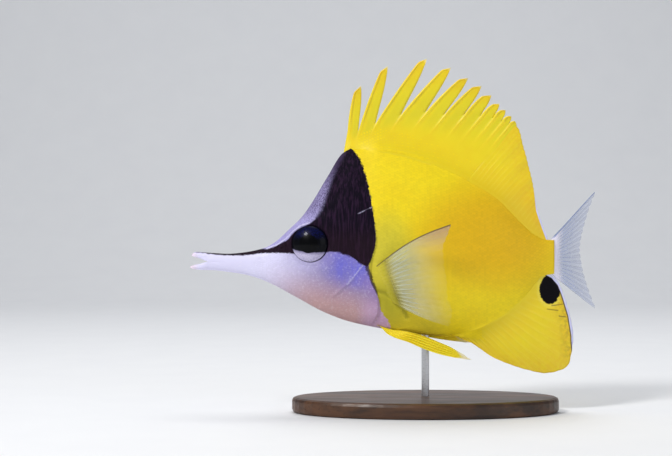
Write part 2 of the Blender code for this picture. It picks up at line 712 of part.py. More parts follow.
def finish(piece):
    """Gives a piece its own material."""
    colour, roughness, metallic = FINISHES.get(piece.name, YELLOW)
    material = bpy.data.materials.new(piece.name)
    material.use_nodes = True
    shader = material.node_tree.nodes["Principled BSDF"]
    shader.inputs["Base Color"].default_value = (*colour, 1.0)
    shader.inputs["Roughness"].default_value = roughness
    shader.inputs["Metallic"].default_value = metallic
    piece.data.materials.append(material)


def build():
    """Makes every piece of the fish and its stand."""
    for old in list(bpy.data.objects):
        bpy.data.objects.remove(old)
    parts = bpy.data.collections.new("longnose_butterflyfish")
    cutters = bpy.data.collections.new("cutters")
    bpy.context.scene.collection.children.link(parts)
    bpy.context.scene.collection.children.link(cutters)
    build_body(parts, cutters)
    jaw("upper_jaw", UPPER_JAW_TOP, UPPER_JAW_MOUTH, parts)
    jaw("lower_jaw", LOWER_JAW_MOUTH, LOWER_JAW_BOTTOM, parts)
    dorsal_spiny_fin(parts)
    rayed_fin("dorsal_fin_soft", SOFT_DORSAL_ROOTS, SOFT_DORSAL_MARGIN, 1, SOFT_DORSAL_RAYS, 0, parts)
    rayed_fin("anal_fin", ANAL_ROOTS, ANAL_MARGIN, -1, ANAL_SPINES + ANAL_RAYS, ANAL_SPINES, parts)
    tail_fin(parts)
    for label, side in (("left", -1), ("right", 1)):
        pectoral_fin("pectoral_fin_" + label, side, parts)
        pelvic_fin("pelvic_fin_" + label, side, parts)
    build_stand(parts)
    for piece in parts.objects:
        finish(piece)


build()
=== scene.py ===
import math

import bmesh
import bpy
import numpy as np
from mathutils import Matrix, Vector

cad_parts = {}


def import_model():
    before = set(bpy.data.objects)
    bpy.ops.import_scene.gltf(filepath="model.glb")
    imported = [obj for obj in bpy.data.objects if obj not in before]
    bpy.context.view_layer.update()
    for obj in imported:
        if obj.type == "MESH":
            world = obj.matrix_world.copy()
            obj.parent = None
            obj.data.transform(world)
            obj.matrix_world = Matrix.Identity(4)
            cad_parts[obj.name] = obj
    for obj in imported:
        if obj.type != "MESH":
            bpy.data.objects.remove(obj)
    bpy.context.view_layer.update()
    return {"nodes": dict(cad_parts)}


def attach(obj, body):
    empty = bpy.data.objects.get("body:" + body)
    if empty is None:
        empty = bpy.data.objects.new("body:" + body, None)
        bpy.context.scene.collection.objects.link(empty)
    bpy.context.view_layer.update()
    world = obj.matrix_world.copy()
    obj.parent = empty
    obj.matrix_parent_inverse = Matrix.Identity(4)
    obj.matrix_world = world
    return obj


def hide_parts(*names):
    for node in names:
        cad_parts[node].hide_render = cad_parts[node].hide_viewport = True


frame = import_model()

# The fish is measured in millimetres: s back from the tip of the upper jaw, h up from the body's axis, and
# y across, its left side negative. The stand's rod stands under BALANCE_S.
MM = 0.001
AXIS_HEIGHT = 61.2
BALANCE_S = 91
SWAY_START = 118
SWAY_RATE = 0.0054
SEED = 11

# Body outline and widths, as (s, value)
TOP_LINE = (
    (6.4, 0.9), (8, 0.8), (14, 0.5), (20, 1), (24.6, 1.8), (29.4, 3.2), (32.4, 5), (37.6, 9.7),
    (43.2, 15.3), (47.5, 21.6), (52.7, 30.3), (59, 39.8), (61.5, 41), (70, 41), (81, 39.4),
    (95, 34.7), (107, 29), (118, 22.4), (129, 11.5), (134, 7.4), (138, 6), (142, 5.8),
)
BOTTOM_LINE = (
    (6.4, -5.85), (8, -5.9), (14.4, -6.6), (20.7, -7.6), (25.7, -9), (30.8, -11.1), (41, -16.6),
    (51.9, -22.4), (60.8, -25.7), (73, -28.4), (88, -30.8), (95, -31.4), (108, -29.6), (120, -24),
    (130, -15.6), (137, -8.2), (142, -7.2),
)
HALF_WIDTH = (
    (6.4, 2.4), (8, 2.5), (20, 2.8), (30, 4.1), (39, 6.2), (46, 7.9), (54, 9.1), (64, 10.1),
    (76, 10.9), (90, 10.8), (105, 9.2), (120, 6.4), (132, 3.9), (138, 2.9), (142, 2.6),
)
TOP_KEEL = ((8, 0.3), (44, 0.4), (58, 1.1), (64, 1.3), (142, 1.3))
BOTTOM_KEEL = ((8, 0.3), (60, 0.8), (90, 1.3), (142, 1.2))
FULLNESS = ((8, 0.5), (26, 0.52), (50, 0.68), (140, 0.72))
SKIN_END = 141.4

# Mouth
MOUTH_CORNER_S = 6.4
UPPER_JAW_TOP = ((0, 0.1), (0.5, 0.8), (2, 1.2), (4.4, 1.05), (6.4, 0.9))
UPPER_JAW_EDGE = ((0, -0.3), (1.2, -0.75), (3.2, -1.25), (5.4, -2.2), (6.4, -2.475))
LOWER_JAW_EDGE = ((-0.6, -4.45), (0.8, -3.9), (3, -3.45), (5.4, -2.75), (6.4, -2.475))
LOWER_JAW_BOTTOM = ((-0.6, -4.85), (0.2, -5.3), (2, -5.65), (4.4, -5.8), (6.4, -5.85))
MOUTH_LINE = ((5, -2.45), (9, -2.7), (13, -3.3))
MOUTH_GROOVE = 0.16
JAW_HALF_WIDTH = ((0, 0.55), (0.7, 1.25), (2.4, 1.75), (7, 2.4))

# Gill cover and cheek
GILL_COVER_LIFT = 0.62
GILL_GROOVE = 0.25
CHEEK_LIFT = 0.22
GILL_EDGE = (
    (59.2, 52), (59.6, 40.8), (64, 35.5), (67.1, 29.2), (68.8, 24.2), (71, 10.7), (71.4, 5.5),
    (70.2, 0.4), (69.2, -4.5), (69.6, -9.4), (71, -12.6), (72.4, -17.5), (72.4, -21.5), (71, -25.5),
    (68.5, -29), (66, -40),
)
CHEEK_EDGE = ((67, -3), (61, -10.5), (55.5, -15.5))
CHEEK_LINE = ((67, -3), (60.4, -11.2))

# Markings, as (s, h)
MASK_OUTLINE = (
    (61.4, 42.4), (65.5, 36.6), (67.6, 30.2), (69, 24.4), (70.3, 16.9), (71.2, 10.6), (71.5, 5.4),
    (70.4, 0.6), (68, -4.2), (66, -3.6), (62.6, -1), (58.8, 0.5), (54.4, 1.4), (49, 0.4), (40, 0.6),
    (33.2, 0.9), (29, 0.8), (24, 0.3), (19, -0.2), (12, 0), (8, 0.3), (3.5, 1), (-3, 1.7), (-3, 6),
    (14, 4), (29, 2.4), (34, 4.3), (37.4, 6), (40.4, 9.4), (44.2, 11.2), (47.6, 13.6), (51, 20),
    (53.6, 28), (56.4, 34.4), (58.6, 38.2), (59.6, 41.5),
)
FACE_BACK = (
    (57, 50), (59.2, 42.6), (61.6, 41.6), (65.5, 35.7), (67.6, 29.8), (69, 24), (70.3, 16.6),
    (71.1, 10.7), (71.4, 5.5), (70.2, 0.4), (68.4, -5), (69.6, -9.4), (71.2, -12.8), (72.4, -16.2),
    (74, -22.4), (76.6, -26.2), (78.5, -33),
)
GILL_LINE = ((68, -4.6), (69.4, -8), (70.6, -11.6), (72.4, -15.6))
BROW_LINE = ((29, 2.5), (33, 4), (36.6, 6.3), (39.4, 9.2), (42.4, 11.4), (46, 12.6))
NAPE_THREAD = ((64.6, 16), (67, 17.3), (69.8, 18.6))
SPOT_CENTRE = (139.9, -13.4)
SPOT_RADII = (4.3, 5.9)
SPOT_NOTCH = (144.4, -17.9)
SPOT_NOTCH_RADIUS = 1.7
BLUE_EDGE_WIDTH = 1.1
SPOT_THREADS = (
    ((140.6, -19.9), (145.2, -19.3)), ((138.8, -21.2), (143.2, -21.8)), ((143.6, -24), (146.6, -24.4)),
)

# Eye
EYE_S = 46.2
EYE_H = 4.4
EYE_RADIUS = 7.4
EYE_HALF_DEPTH = 4
EYE_OUT = 5.5
EYE_TURN = math.radians(10)
PUPIL_RADIUS = 3.5
RIM_HEIGHT = 6.75
RIM_ROLL = 0.3
SOCKET_DEPTH = 3.2
EYE_DOME = 0.35
NOSTRILS = ((36.6, 3.4), (35, 2.7))
NOSTRIL_DEPTH = 0.55
NOSTRIL_RIM = 0.16

# Dorsal spines: root s, notch in front and tip as (s, h)
DORSAL_SPINES = (
    (58.8, (60.7, 48.6), (65.9, 66.1)),
    (62, (64.9, 48.4), (76.4, 73.7)),
    (65.4, (71.6, 51.2), (91.7, 76.6)),
    (71, (81.5, 54.6), (101, 73.1)),
    (77.4, (91.1, 55.6), (107.8, 69.1)),
    (83.8, (98.3, 54.6), (113, 66)),
    (89.6, (106.1, 54.6), (116.8, 62.4)),
    (94.4, (112.5, 54.2), (119.9, 59)),
    (98.6, (117.2, 53.4), (122.3, 56.6)),
    (102, (120.6, 52), (124.6, 54.2)),
    (105, (123.4, 50.8), (126.1, 52.2)),
)
SPINY_FIN_END = (107.9, (126.7, 50.6))
SPINE_RADIUS = 0.7

# Soft fins
SOFT_DORSAL_ROOTS = (106.2, 136.8)
SOFT_DORSAL_MARGIN = (
    (125.4, 50.8), (127, 50), (129.1, 43.3), (131, 36.4), (133.2, 27.3), (135.1, 17.2), (137.4, 10.7),
    (139, 6.2),
)
SOFT_DORSAL_RAYS = 22
ANAL_ROOTS = (99.5, 136.8)
ANAL_MARGIN = (
    (106, -33.2), (109.8, -34.8), (113.2, -37.2), (116.8, -39.6), (124, -42.7), (131, -44.9),
    (138.2, -46.3), (144.3, -45.2), (147.5, -43.2), (149, -37), (149.5, -32), (148.2, -23.8),
    (145.4, -15.2), (143.8, -11.4), (141.1, -8.4), (138.4, -7.2),
)
ANAL_BLUE_EDGE = ((149.1, -38.5), *ANAL_MARGIN[10:15], (138.6, -7.1))
DORSAL_BLUE_EDGE = ((131.8, 33), *SOFT_DORSAL_MARGIN[4:7], (138.9, 6.5))
ANAL_SPINES = 3
ANAL_RAYS = 18
TAIL_START = 140.4
TAIL_RAYS = 17
TAIL_MIDDLE = 17.6
TAIL_LOBE = 21.2
TAIL_HALF_SPREAD = 23.1
TAIL_MIDDLE_H = 1.7
TAIL_TURN_MIDDLE = 43
TAIL_TURN_LOBE = 27
PECTORAL_ROOT = ((70.2, -6), (77.4, -17.6))
PECTORAL_FOLD = ((72, -13.6), (75.4, -14.6), (79.2, -17.2), (81.8, -20.4), (83.4, -24))
PECTORAL_MARGIN = (
    (99.6, 12.1), (98.4, 8.4), (96.6, 3), (97, -3.5), (98, -9), (98.4, -15.5), (100.2, -21),
    (99.1, -27),
)
PECTORAL_RAYS = 15
PECTORAL_FLARE = math.radians(24)
PELVIC_ROOT = (71.8, 77.6)
PELVIC_UPPER = (
    (72.5, -28), (79.1, -29.1), (86.2, -30.1), (91.4, -31.7), (96.5, -33.8), (100.1, -35.3), (103.6, -37.3),
    (108.9, -40.2),
)
PELVIC_LOWER = (
    (71.6, -28.7), (74.6, -29.9), (79, -32), (84, -33.6), (89.5, -36), (96.3, -38.3), (101.8, -39.5),
    (108.9, -40.6),
)
FAR_PELVIC_LIFT = 5.8
PELVIC_FOLDS = 5
PELVIC_ROOT_SIDE = 1.7
PELVIC_SIDE = 3.6
PELVIC_FLARE = math.radians(4)
FIN_SINK = 1.6
RAY_COLUMNS = 12
FIN_ROOT_FADE = 5
DORSAL_START = 61.5
ANAL_START = 99.5
FLARE = 1.7
FLARE_BELOW = 2
FIN_ROOT_HALF = 2
EDGE_ROOT_HALF = 1.2
WIDEST_HALF = 10.9
FLARE_ABOVE = 2.6
MEMBRANE_HALF = 0.11

# Scales
BODY_SCALE = 1.35
HEAD_SCALE = 0.95
SCALE_LIFT = 0.03
HEAD_SCALE_LIFT = 0.014
SCALE_STEPS = (0.78, 0.86)
SCALE_LENGTH = 1.5
SCALE_WIDTH = 1.12
LIGHTNESS = 0.99
BAKE_PATCH = 0.003


def linear(hex_colour):
    """An sRGB hex colour as linear RGBA."""
    parts = [int(hex_colour[i:i + 2], 16) / 255 for i in (1, 3, 5)]
    return tuple(p / 12.92 if p <= 0.04045 else ((p + 0.055) / 1.055) ** 2.4 for p in parts) + (1,)


def through(points):
    """A smooth curve through the points for arrays, with no overshoot between them."""
    xs, ys = (np.array(column, float) for column in zip(*points))
    steps = np.diff(xs)
    slopes = np.diff(ys) / steps
    tangents = np.zeros(len(xs))
    tangents[0], tangents[-1] = slopes[0], slopes[-1]
    for i in range(1, len(xs) - 1):
        before, after = slopes[i - 1], slopes[i]
        if before * after > 0:
            near, far = 2 * steps[i] + steps[i - 1], steps[i] + 2 * steps[i - 1]
            tangents[i] = (near + far) / (near / before + far / after)

    def at(x):
        x = np.clip(np.asarray(x, float), xs[0], xs[-1])
        i = np.clip(np.searchsorted(xs, x, side="right") - 1, 0, len(steps) - 1)
        t = (x - xs[i]) / steps[i]
        rise = ys[i] * (1 + 2 * t) * (1 - t) ** 2 + ys[i + 1] * t * t * (3 - 2 * t)
        return rise + steps[i] * (tangents[i] * t * (1 - t) ** 2 - tangents[i + 1] * t * t * (1 - t))

    return at


def along(points):
    """A smooth curve in the plane through the points, by its share of length."""
    run = np.cumsum([0] + [math.dist(a, b) for a, b in zip(points, points[1:])])
    first, second = (through(list(zip(run / run[-1], column))) for column in zip(*points))
    return lambda t: (first(t), second(t))


top, bottom, half_width = through(TOP_LINE), through(BOTTOM_LINE), through(HALF_WIDTH)
top_keel, bottom_keel, fullness = through(TOP_KEEL), through(BOTTOM_KEEL), through(FULLNESS)
gill_edge_s = through([(-h, s) for s, h in GILL_EDGE])


def ease(x):
    """A soft step from 0 to 1."""
    x = np.clip(x, 0, 1)
    return x * x * (3 - 2 * x)


def bell(x, width):
    """A smooth bump: 1 at 0, falling off over the width on both sides."""
    return np.exp(-((x / width) ** 2))


def sway(s):
    """How far the rear of the fish swings to its right."""
    return SWAY_RATE * np.maximum(0, s - SWAY_START) ** 2


def world(s, y, h):
    """World points in metres of points of the fish, as rows."""
    s, y, h = np.broadcast_arrays(np.asarray(s, float), y, h)
    return np.stack([s - BALANCE_S, y + sway(s), h + AXIS_HEIGHT], -1).reshape(-1, 3) * MM


def line_distance(s, h, line):
    """The nearest distance from points to a run of straight lines."""
    nearest = np.full(np.shape(s), 1e9)
    for (s0, h0), (s1, h1) in zip(line, line[1:]):
        ds, dh = s1 - s0, h1 - h0
        share = np.clip(((s - s0) * ds + (h - h0) * dh) / (ds * ds + dh * dh), 0, 1)
        nearest = np.minimum(nearest, np.hypot(s - s0 - share * ds, h - h0 - share * dh))
    return nearest


def inside(s, h, outline):
    """True where a point lies within an outline whose last point is its first."""
    result = np.zeros(np.shape(s), bool)
    for (s0, h0), (s1, h1) in zip(outline, outline[1:]):
        if h0 != h1:
            result ^= ((h0 > h) != (h1 > h)) & (s < (s1 - s0) * (h - h0) / (h1 - h0) + s0)
    return result


def smooth_line(points, count):
    """Points along a smooth curve through the given ones."""
    return tuple(zip(*along(points)(np.linspace(0, 1, count))))


def section(s, angle):
    """Half width and height on the body's section at an angle from -90 degrees, its foot, to 90."""
    middle, half = (top(s) + bottom(s)) / 2, (top(s) - bottom(s)) / 2
    h = middle + half * np.sin(angle)
    keel = np.where(angle > 0, top_keel(s), bottom_keel(s))
    y = keel + (half_width(s) - keel) * np.maximum(np.cos(angle), 0) ** (2 * fullness(s))
    return y, h


def side_width(s, h):
    """Half the body's width at a height."""
    middle, half = (top(s) + bottom(s)) / 2, (top(s) - bottom(s)) / 2
    return section(s, np.arcsin(np.clip((h - middle) / half, -1, 1)))[0]


def relief(s, h, y):
    """The skin's half width with gill cover, creases, mouth, nostrils and eye socket worked into it."""
    edge = gill_edge_s(-h)
    low_down = ease((13 - h) / 7) * ease((h - bottom(s)) / 5)
    y = y + GILL_COVER_LIFT * low_down * ease(1 - (edge - s) / 9) * ease((edge - s) / 0.5 + 1)
    y = y - GILL_GROOVE * low_down * bell(s - edge - 0.9, 0.55)
    y = y + CHEEK_LIFT * ease(1 - line_distance(s, h, CHEEK_EDGE) / 1.6)
    y = y - MOUTH_GROOVE * bell(line_distance(s, h, MOUTH_LINE), 0.35) * ease((14 - s) / 5)
    for line, height, away, width in CREASES:
        y = y + height * bell(line_distance(s, h, line) - away, width)
    for nostril_s, nostril_h in NOSTRILS:
        away = np.hypot(s - nostril_s, h - nostril_h)
        y = y - NOSTRIL_DEPTH * bell(away, 0.42) + NOSTRIL_RIM * bell(away - 0.8, 0.25)
    rho = np.hypot(s - EYE_S, h - EYE_H)
    rim = RIM_HEIGHT + math.tan(EYE_TURN) * (s - EYE_S)
    near = ease(1 - (rho - EYE_RADIUS) / 4.2)
    y = y * (1 - near) + rim * near + RIM_ROLL * bell(rho - EYE_RADIUS - 0.35, 0.42)
    return y - SOCKET_DEPTH * ease((EYE_RADIUS - 0.25 - rho) / 1.3)


def root_share(s, upper, run):
    """How fleshy the dorsal or anal fin's root is at a station: 0 at its start, 1 at the widest body."""
    start = DORSAL_START if upper else ANAL_START
    return ease((s - start) / run) * (half_width(s) - EDGE_ROOT_HALF) / (WIDEST_HALF - EDGE_ROOT_HALF)


def flare(s, upper):
    """How much the skin widens where it rises into the dorsal fin or drops into the anal fin."""
    return FLARE * root_share(s, upper, 13)


def fin_root(s, upper):
    """Half the thickness of the dorsal or anal fin where it leaves the skin."""
    return EDGE_ROOT_HALF + (FIN_ROOT_HALF - EDGE_ROOT_HALF) * root_share(s, upper, 12)


def skin_side(s, angle):
    """The finished skin's half width and height at an angle on the section."""
    y, h = section(s, angle)
    y = y + (relief(s, h, y) - y) * ease((math.pi / 2 - np.abs(angle)) / 0.12)
    crest = fin_root(s, True) * ease((s - DORSAL_START + 4) / 4)
    keel = fin_root(s, False) * ease((s - ANAL_START + 4) / 4)
    y = (y ** 6 + np.where(angle > 0, crest, keel) ** 6) ** (1 / 6)
    y = y + flare(s, True) * np.exp((h - top(s)) / FLARE_BELOW)
    return y + flare(s, False) * np.exp((bottom(s) - h) / FLARE_BELOW), h


LATERAL_LINE = smooth_line(((69.6, 13.5), (80, 23.5), (95, 27), (110, 22), (122, 12), (127, 6)), 25)
MASK = smooth_line(MASK_OUTLINE + MASK_OUTLINE[:1], 151)

# Lines that show in the skin: the line, its rise, and how far from the line that rise is and how wide
CREASES = (
    (CHEEK_EDGE, -0.12, 1, 0.5), (PECTORAL_FOLD, -0.3, 0, 0.7), (PECTORAL_FOLD, 0.15, 1.7, 0.9),
    (LATERAL_LINE, 0.05, 0, 0.45),
)


def oval(s, h, middle, radii):
    """A soft oval patch: 1 in its middle, falling to 0 at its radii."""
    return ease(1 - ((s - middle[0]) / radii[0]) ** 2 - ((h - middle[1]) / radii[1]) ** 2)


def markings(s, h):
    """Millimetres inside each sharp marking's border, and the strength, 0 to 1, of each zone of colour."""
    s, h = np.ravel(s), np.ravel(h)

    def off(line):
        return line_distance(s, h, line)

    face = np.clip(through([(-b, a) for a, b in FACE_BACK])(-h) - s, -20, 20)
    spot = 1 - np.hypot((s - SPOT_CENTRE[0]) / SPOT_RADII[0], (h - SPOT_CENTRE[1]) / SPOT_RADII[1])
    notch = np.hypot(s - SPOT_NOTCH[0], h - SPOT_NOTCH[1]) - SPOT_NOTCH_RADIUS
    blue = np.where(h < 0, BLUE_EDGE_WIDTH * ease((h + 41) / 9) - off(ANAL_BLUE_EDGE),
                    BLUE_EDGE_WIDTH * ease((33 - h) / 20) - off(DORSAL_BLUE_EDGE))
    low_fin = ease((2 - h) / 4)
    return {
        "mask": np.where(inside(s, h, MASK), 1, -1) * off(MASK),
        "face": face,
        "spot": np.minimum(spot * min(SPOT_RADII), notch),
        "blue": blue,
        # Painted shade: a dark line in the gill opening, running on below the mask
        "gill": 0.75 * ease((h + 17.5) / 8) - off(GILL_LINE),
        # Painted highlight: a pale line along the ridge at the gill cover's front edge
        "cheek": 0.2 - off(CHEEK_LINE),
        # Painted shade: a dark line in the crease along the pectoral fin's root
        "fold": 0.7 - off(PECTORAL_FOLD),
        "brow": np.maximum(0.22 - off(BROW_LINE), 0.03 * (s - 65) - off(NAPE_THREAD)),
        "thread": 0.3 - np.min([off(line) for line in SPOT_THREADS], 0),
        "above_snout": h - np.interp(s, (26, 60), (0.8, 4)),
        "warm": oval(s, h, (117, 8), (38, 27)),
        # Painted shade: duller, greener yellow round the pectoral fin's root and behind the gill cover
        "green": oval(s, h, (75, -5), (15.3, 27.4)),
        # Painted shade: darker yellow on the low lobe under the pectoral fin's root
        "olive": oval(s, h, (76, -19.5), (11, 11.6)),
        # Painted shade: duller yellow along the lower belly
        "belly": ease((-16 - h) / 14) * ease((104 - s) / 14),
        "back_face": ease((s - 24) / 34),
        "blue_cheek": oval(s, h, (65, -4), (17, 11.7)),
        "by_gill": ease((8 - face) / 7.5) * ease((-5 - h) / 6),
        "throat": ease((s - 22) / 28) * ease((9.5 - h + np.interp(s, (30, 75), (-9, -20))) / 16)
        * (1 - 0.35 * ease((s - 62) / 10)),
        "chest": ease((s - 63) / 6) * ease((-15 - h) / 7),
        "lip": ease((3.5 - s) / 4),
        "brow_low": ease((20 - h) / 11),
        "brow_high": ease((h - 24) / 13),
        "mask_low": ease((14 - h) / 10),
        "mask_haze": ease((63 - s) / 3.5) * ease((h - 13) / 5),
        # Painted shade: a brown strip along the belly's keel where the folded pelvic fins lie under it
        "underside": ease((s - 73) / 5) * ease((100 - s) / 6) * ease((0.9 - h + bottom(s)) / 0.65),
        "low_fin": low_fin,
        "brown_edge": low_fin * ease((blue + 6) / 5.4),
    }


def put(name, data):
    """Puts a mesh, a lamp or a camera in the scene as an object."""
    item = bpy.data.objects.new(name, data)
    bpy.context.scene.collection.objects.link(item)
    return item


def make_piece(name, points, faces, values=None):
    """A smooth mesh object from world points, faces and named values for each point."""
    mesh = bpy.data.meshes.new(name)
    mesh.from_pydata(np.asarray(points).tolist(), [], faces)
    for key, data in (values or {}).items():
        layer = mesh.attributes.new(key, "FLOAT", "POINT")
        layer.data.foreach_set("value", np.asarray(data, np.float32).ravel())
    mesh.shade_smooth()
    return put(name, mesh)


def outward(piece):
    """Turns the faces of a closed piece outward."""
    shape = bmesh.new()
    shape.from_mesh(piece.data)
    bmesh.ops.recalc_face_normals(shape, faces=shape.faces)
    shape.to_mesh(piece.data)
    shape.free()
    return piece


def mark_sharp(piece, test):
    """Marks the edges as sharp whose two point numbers pass the test."""
    ends = np.empty(2 * len(piece.data.edges), np.int64)
    piece.data.edges.foreach_get("vertices", ends)
    sharp = piece.data.attributes.new("sharp_edge", "BOOLEAN", "EDGE")
    sharp.data.foreach_set("value", test(ends.reshape(-1, 2)))


def join_rings(first, second):
    """Quads between two rings of point numbers."""
    return list(zip(first, first[1:] + first[:1], second[1:] + second[:1], second))


def fan(ring, point):
    """Triangles from a ring of point numbers to one point."""
    return [(a, b, point) for a, b in zip(ring, ring[1:] + ring[:1])]


# Skin

SIDE_POINTS = 96
FORK = SIDE_POINTS // 2
CROSS = np.linspace(1, -1, 7)[1:-1]
JAW_STATIONS = 26
LIP_TURN = math.radians(42)


def jaw_rings(upper):
    """Rings of one jaw from the mouth's corner to its tip, each with its outer side and its inner face."""
    top_line = through(UPPER_JAW_TOP if upper else LOWER_JAW_EDGE)
    low_line = through(UPPER_JAW_EDGE if upper else LOWER_JAW_BOTTOM)
    wide = through(JAW_HALF_WIDTH)
    tip = UPPER_JAW_TOP[0][0] if upper else LOWER_JAW_EDGE[0][0]
    for t in np.sin(np.linspace(0, math.pi / 2, JAW_STATIONS))[1:]:
        s = MOUTH_CORNER_S + (tip - MOUTH_CORNER_S) * t
        edge, far = (low_line(s), top_line(s)) if upper else (top_line(s), low_line(s))
        start = -LIP_TURN * ease(3 * t)
        angles = np.linspace(start, math.pi / 2, SIDE_POINTS - FORK + 1)
        share = (np.sin(angles) - math.sin(start)) / (1 - math.sin(start))
        y = 0.2 + (wide(s - tip) + 0.2 * bell(t - 0.8, 0.13) - 0.2) * np.cos(angles) ** 0.85
        h = edge + (far - edge) * share
        centre = edge + (far - edge) * 0.3 * ease(2 * t)
        inner_y, inner_h = y[0] * CROSS, centre + (edge - centre) * CROSS ** 2
        if upper:
            yield s, np.concatenate([y, -y[::-1], -inner_y]), np.concatenate([h, h[::-1], inner_h])
        else:
            yield s, np.concatenate([y[::-1], inner_y, -y]), np.concatenate([h[::-1], inner_h, h])


def build_skin():
    """One skin from the mouth to the tail stalk, forked at the mouth's corner into the two jaws."""
    stations = np.concatenate([
        np.arange(MOUTH_CORNER_S, 32, 0.7), np.arange(32, 74, 0.36), np.linspace(74, SKIN_END, 118)])
    s, angle = np.meshgrid(stations, np.linspace(-math.pi / 2, math.pi / 2, SIDE_POINTS + 1), indexing="ij")
    plain, h = section(s, angle)
    y = plain + (skin_side(s, angle)[0] - plain) * ease(s - MOUTH_CORNER_S)
    points, faces = [], []

    def add_ring(s, ys, hs):
        points.extend((s, y, h) for y, h in zip(ys, hs))
        return list(range(len(points) - len(ys), len(points)))

    rings = [add_ring(station, np.append(ys, -ys[::-1]), np.append(hs, hs[::-1]))
             for station, ys, hs in zip(stations, y, h)]
    for first, second in zip(rings, rings[1:]):
        faces += join_rings(first, second)
    mouth, end, size = rings[0], rings[-1], len(rings[0])
    faces += [(end[i], end[i + 1], end[-2 - i], end[-1 - i]) for i in range(SIDE_POINTS)]
    row = add_ring(MOUTH_CORNER_S, y[0, FORK] * CROSS, np.full(len(CROSS), h[0, FORK]))
    upper_start, lower_start = mouth[FORK:-FORK] + row[::-1], mouth[:FORK + 1] + row + mouth[-FORK - 1:]
    for upper, last in ((True, upper_start), (False, lower_start)):
        for station, ys, hs in jaw_rings(upper):
            now = add_ring(station, ys, hs)
            faces += join_rings(last, now)
            last = now
        faces += fan(last, add_ring(station - 0.06, [0], [np.mean(hs)])[0])
    s, y, h = np.array(points, float).T
    values = {**markings(s, h), "lightness": np.full(len(s), LIGHTNESS)}
    skin = outward(make_piece("skin", world(s, y, h), faces, values))

    def on_fin_line(ends):
        place, start = ends % size, s[ends].min(1)
        crest = np.isin(place, (SIDE_POINTS, SIDE_POINTS + 1)).all(1) & (start > DORSAL_START)
        keel = np.isin(place, (0, size - 1)).all(1) & (start > ANAL_START)
        return (crest | keel) & (place[:, 0] == place[:, 1]) & (ends.max(1) <= end[-1])

    mark_sharp(skin, on_fin_line)
    return skin


# Fins

def fin_half(distance, root_half):
    """Half the thickness of a fin at a distance from its fleshy root."""
    return MEMBRANE_HALF + (root_half - MEMBRANE_HALF) * np.exp(-((distance / FIN_ROOT_FADE) ** 1.5))


def upright_half(distance, s, upper):
    """Half the thickness of the dorsal or anal fin at a distance from the body."""
    return fin_half(distance, fin_root(s, upper)) + flare(s, upper) * np.exp(-distance / FLARE_ABOVE)


def two_sided(name, near, far, faces, values):
    """A thin piece between two sheets of points with the same faces, closed round its border."""
    count = len(near)
    triangles = [(face[0], b, c) for face in faces for b, c in zip(face[1:], face[2:])]
    edges = {(a, b) for tri in triangles for a, b in zip(tri, tri[1:] + tri[:1])}
    solid = triangles + [tuple(count + i for i in reversed(tri)) for tri in triangles]
    for a, b in edges:
        if (b, a) not in edges:
            solid += [(b, a, count + a), (b, count + a, count + b)]
    both = {key: np.tile(np.ravel(data), 2) for key, data in values.items()}
    return outward(make_piece(name, np.concatenate([near, far]), solid, both))


def grid_faces(columns, rows):
    """Cells of a grid of points stored column by column."""
    return [(c * rows + r, (c + 1) * rows + r, (c + 1) * rows + r + 1, c * rows + r + 1)
            for c in range(columns - 1) for r in range(rows - 1)]


def fin_grid(rays, rows=44):
    """Shares across and along a fin as a grid, with a fixed number of columns to each ray."""
    return np.meshgrid(np.linspace(0, 1, rays * RAY_COLUMNS + 1), np.linspace(0, 1, rows), indexing="ij")


def scallops(count):
    """How deep a fin's margin dips by the count of rays passed: 1 between two rays, 0 at a ray's end."""
    return 0.5 + 0.5 * np.cos(2 * math.pi * count)


def ray_ridges(across, reach, rays, split=0.38):
    """How strongly a soft ray stands up at a place: each ray forks twice towards the margin."""
    u = across * rays % 1 - 0.5
    first = 0.15 * ease((reach - split) / 0.35)
    second = 0.062 * ease((reach - split - 0.24) / 0.3)
    width = 0.16 - 0.085 * ease((reach - 0.1) / 0.6)
    return np.max([bell(u - a * first - b * second, width) for a in (-1, 1) for b in (-1, 1)], 0)


def rayed_fin(name, roots, margin, upward, rays, spines=0):
    """An upright soft fin whose rays fan from a line on the body to its free margin."""
    across, reach = fin_grid(rays)
    count = across * rays
    root_s = roots[0] + (roots[1] - roots[0]) * across
    root_h = top(root_s) - FIN_SINK if upward else bottom(root_s) + FIN_SINK
    tip_s, tip_h = along(margin)(across)
    length = np.hypot(tip_s - root_s, tip_h - root_h)
    spiny = ease((spines - count) * 2)
    ridge = ray_ridges(across, reach, rays) * (1 - spiny) + bell(count % 1 - 0.5, 0.2) * spiny
    reached = reach * (1 - (0.16 + 0.9 * spiny) * scallops(count) / np.maximum(length, 2))
    s = root_s + (tip_s - root_s) * reached
    bend = 0.012 * np.sin(math.pi * reach) * length
    h = root_h + (tip_h - root_h) * reached + (bend if upward else -bend)
    out = np.maximum(length * reached - FIN_SINK, 0)
    half = upright_half(out, s, upward)
    raised = (0.15 + 0.3 * spiny) * ridge * ease((out - 2) / 6) * (1 - 0.6 * reach)
    if upward:
        # Its first rays lie flat and thin inside the end of the spiny part
        raised = raised * ease(count / 2)
        half = half - 0.3 * ease(1 - count / 0.35)
    half = np.maximum(half + raised, 0.03)
    wave = 0.22 * np.sin(count * 1.7) * reach ** 2 * ease(out / 10) * ease((count - 1.2) / 2)
    values = {**markings(s, h), "ray": ridge * ease(out / 3), "outer": ease((reach - 0.35) / 0.65)}
    return two_sided(name, world(s, wave - half, h), world(s, wave + half, h), grid_faces(*s.shape), values)


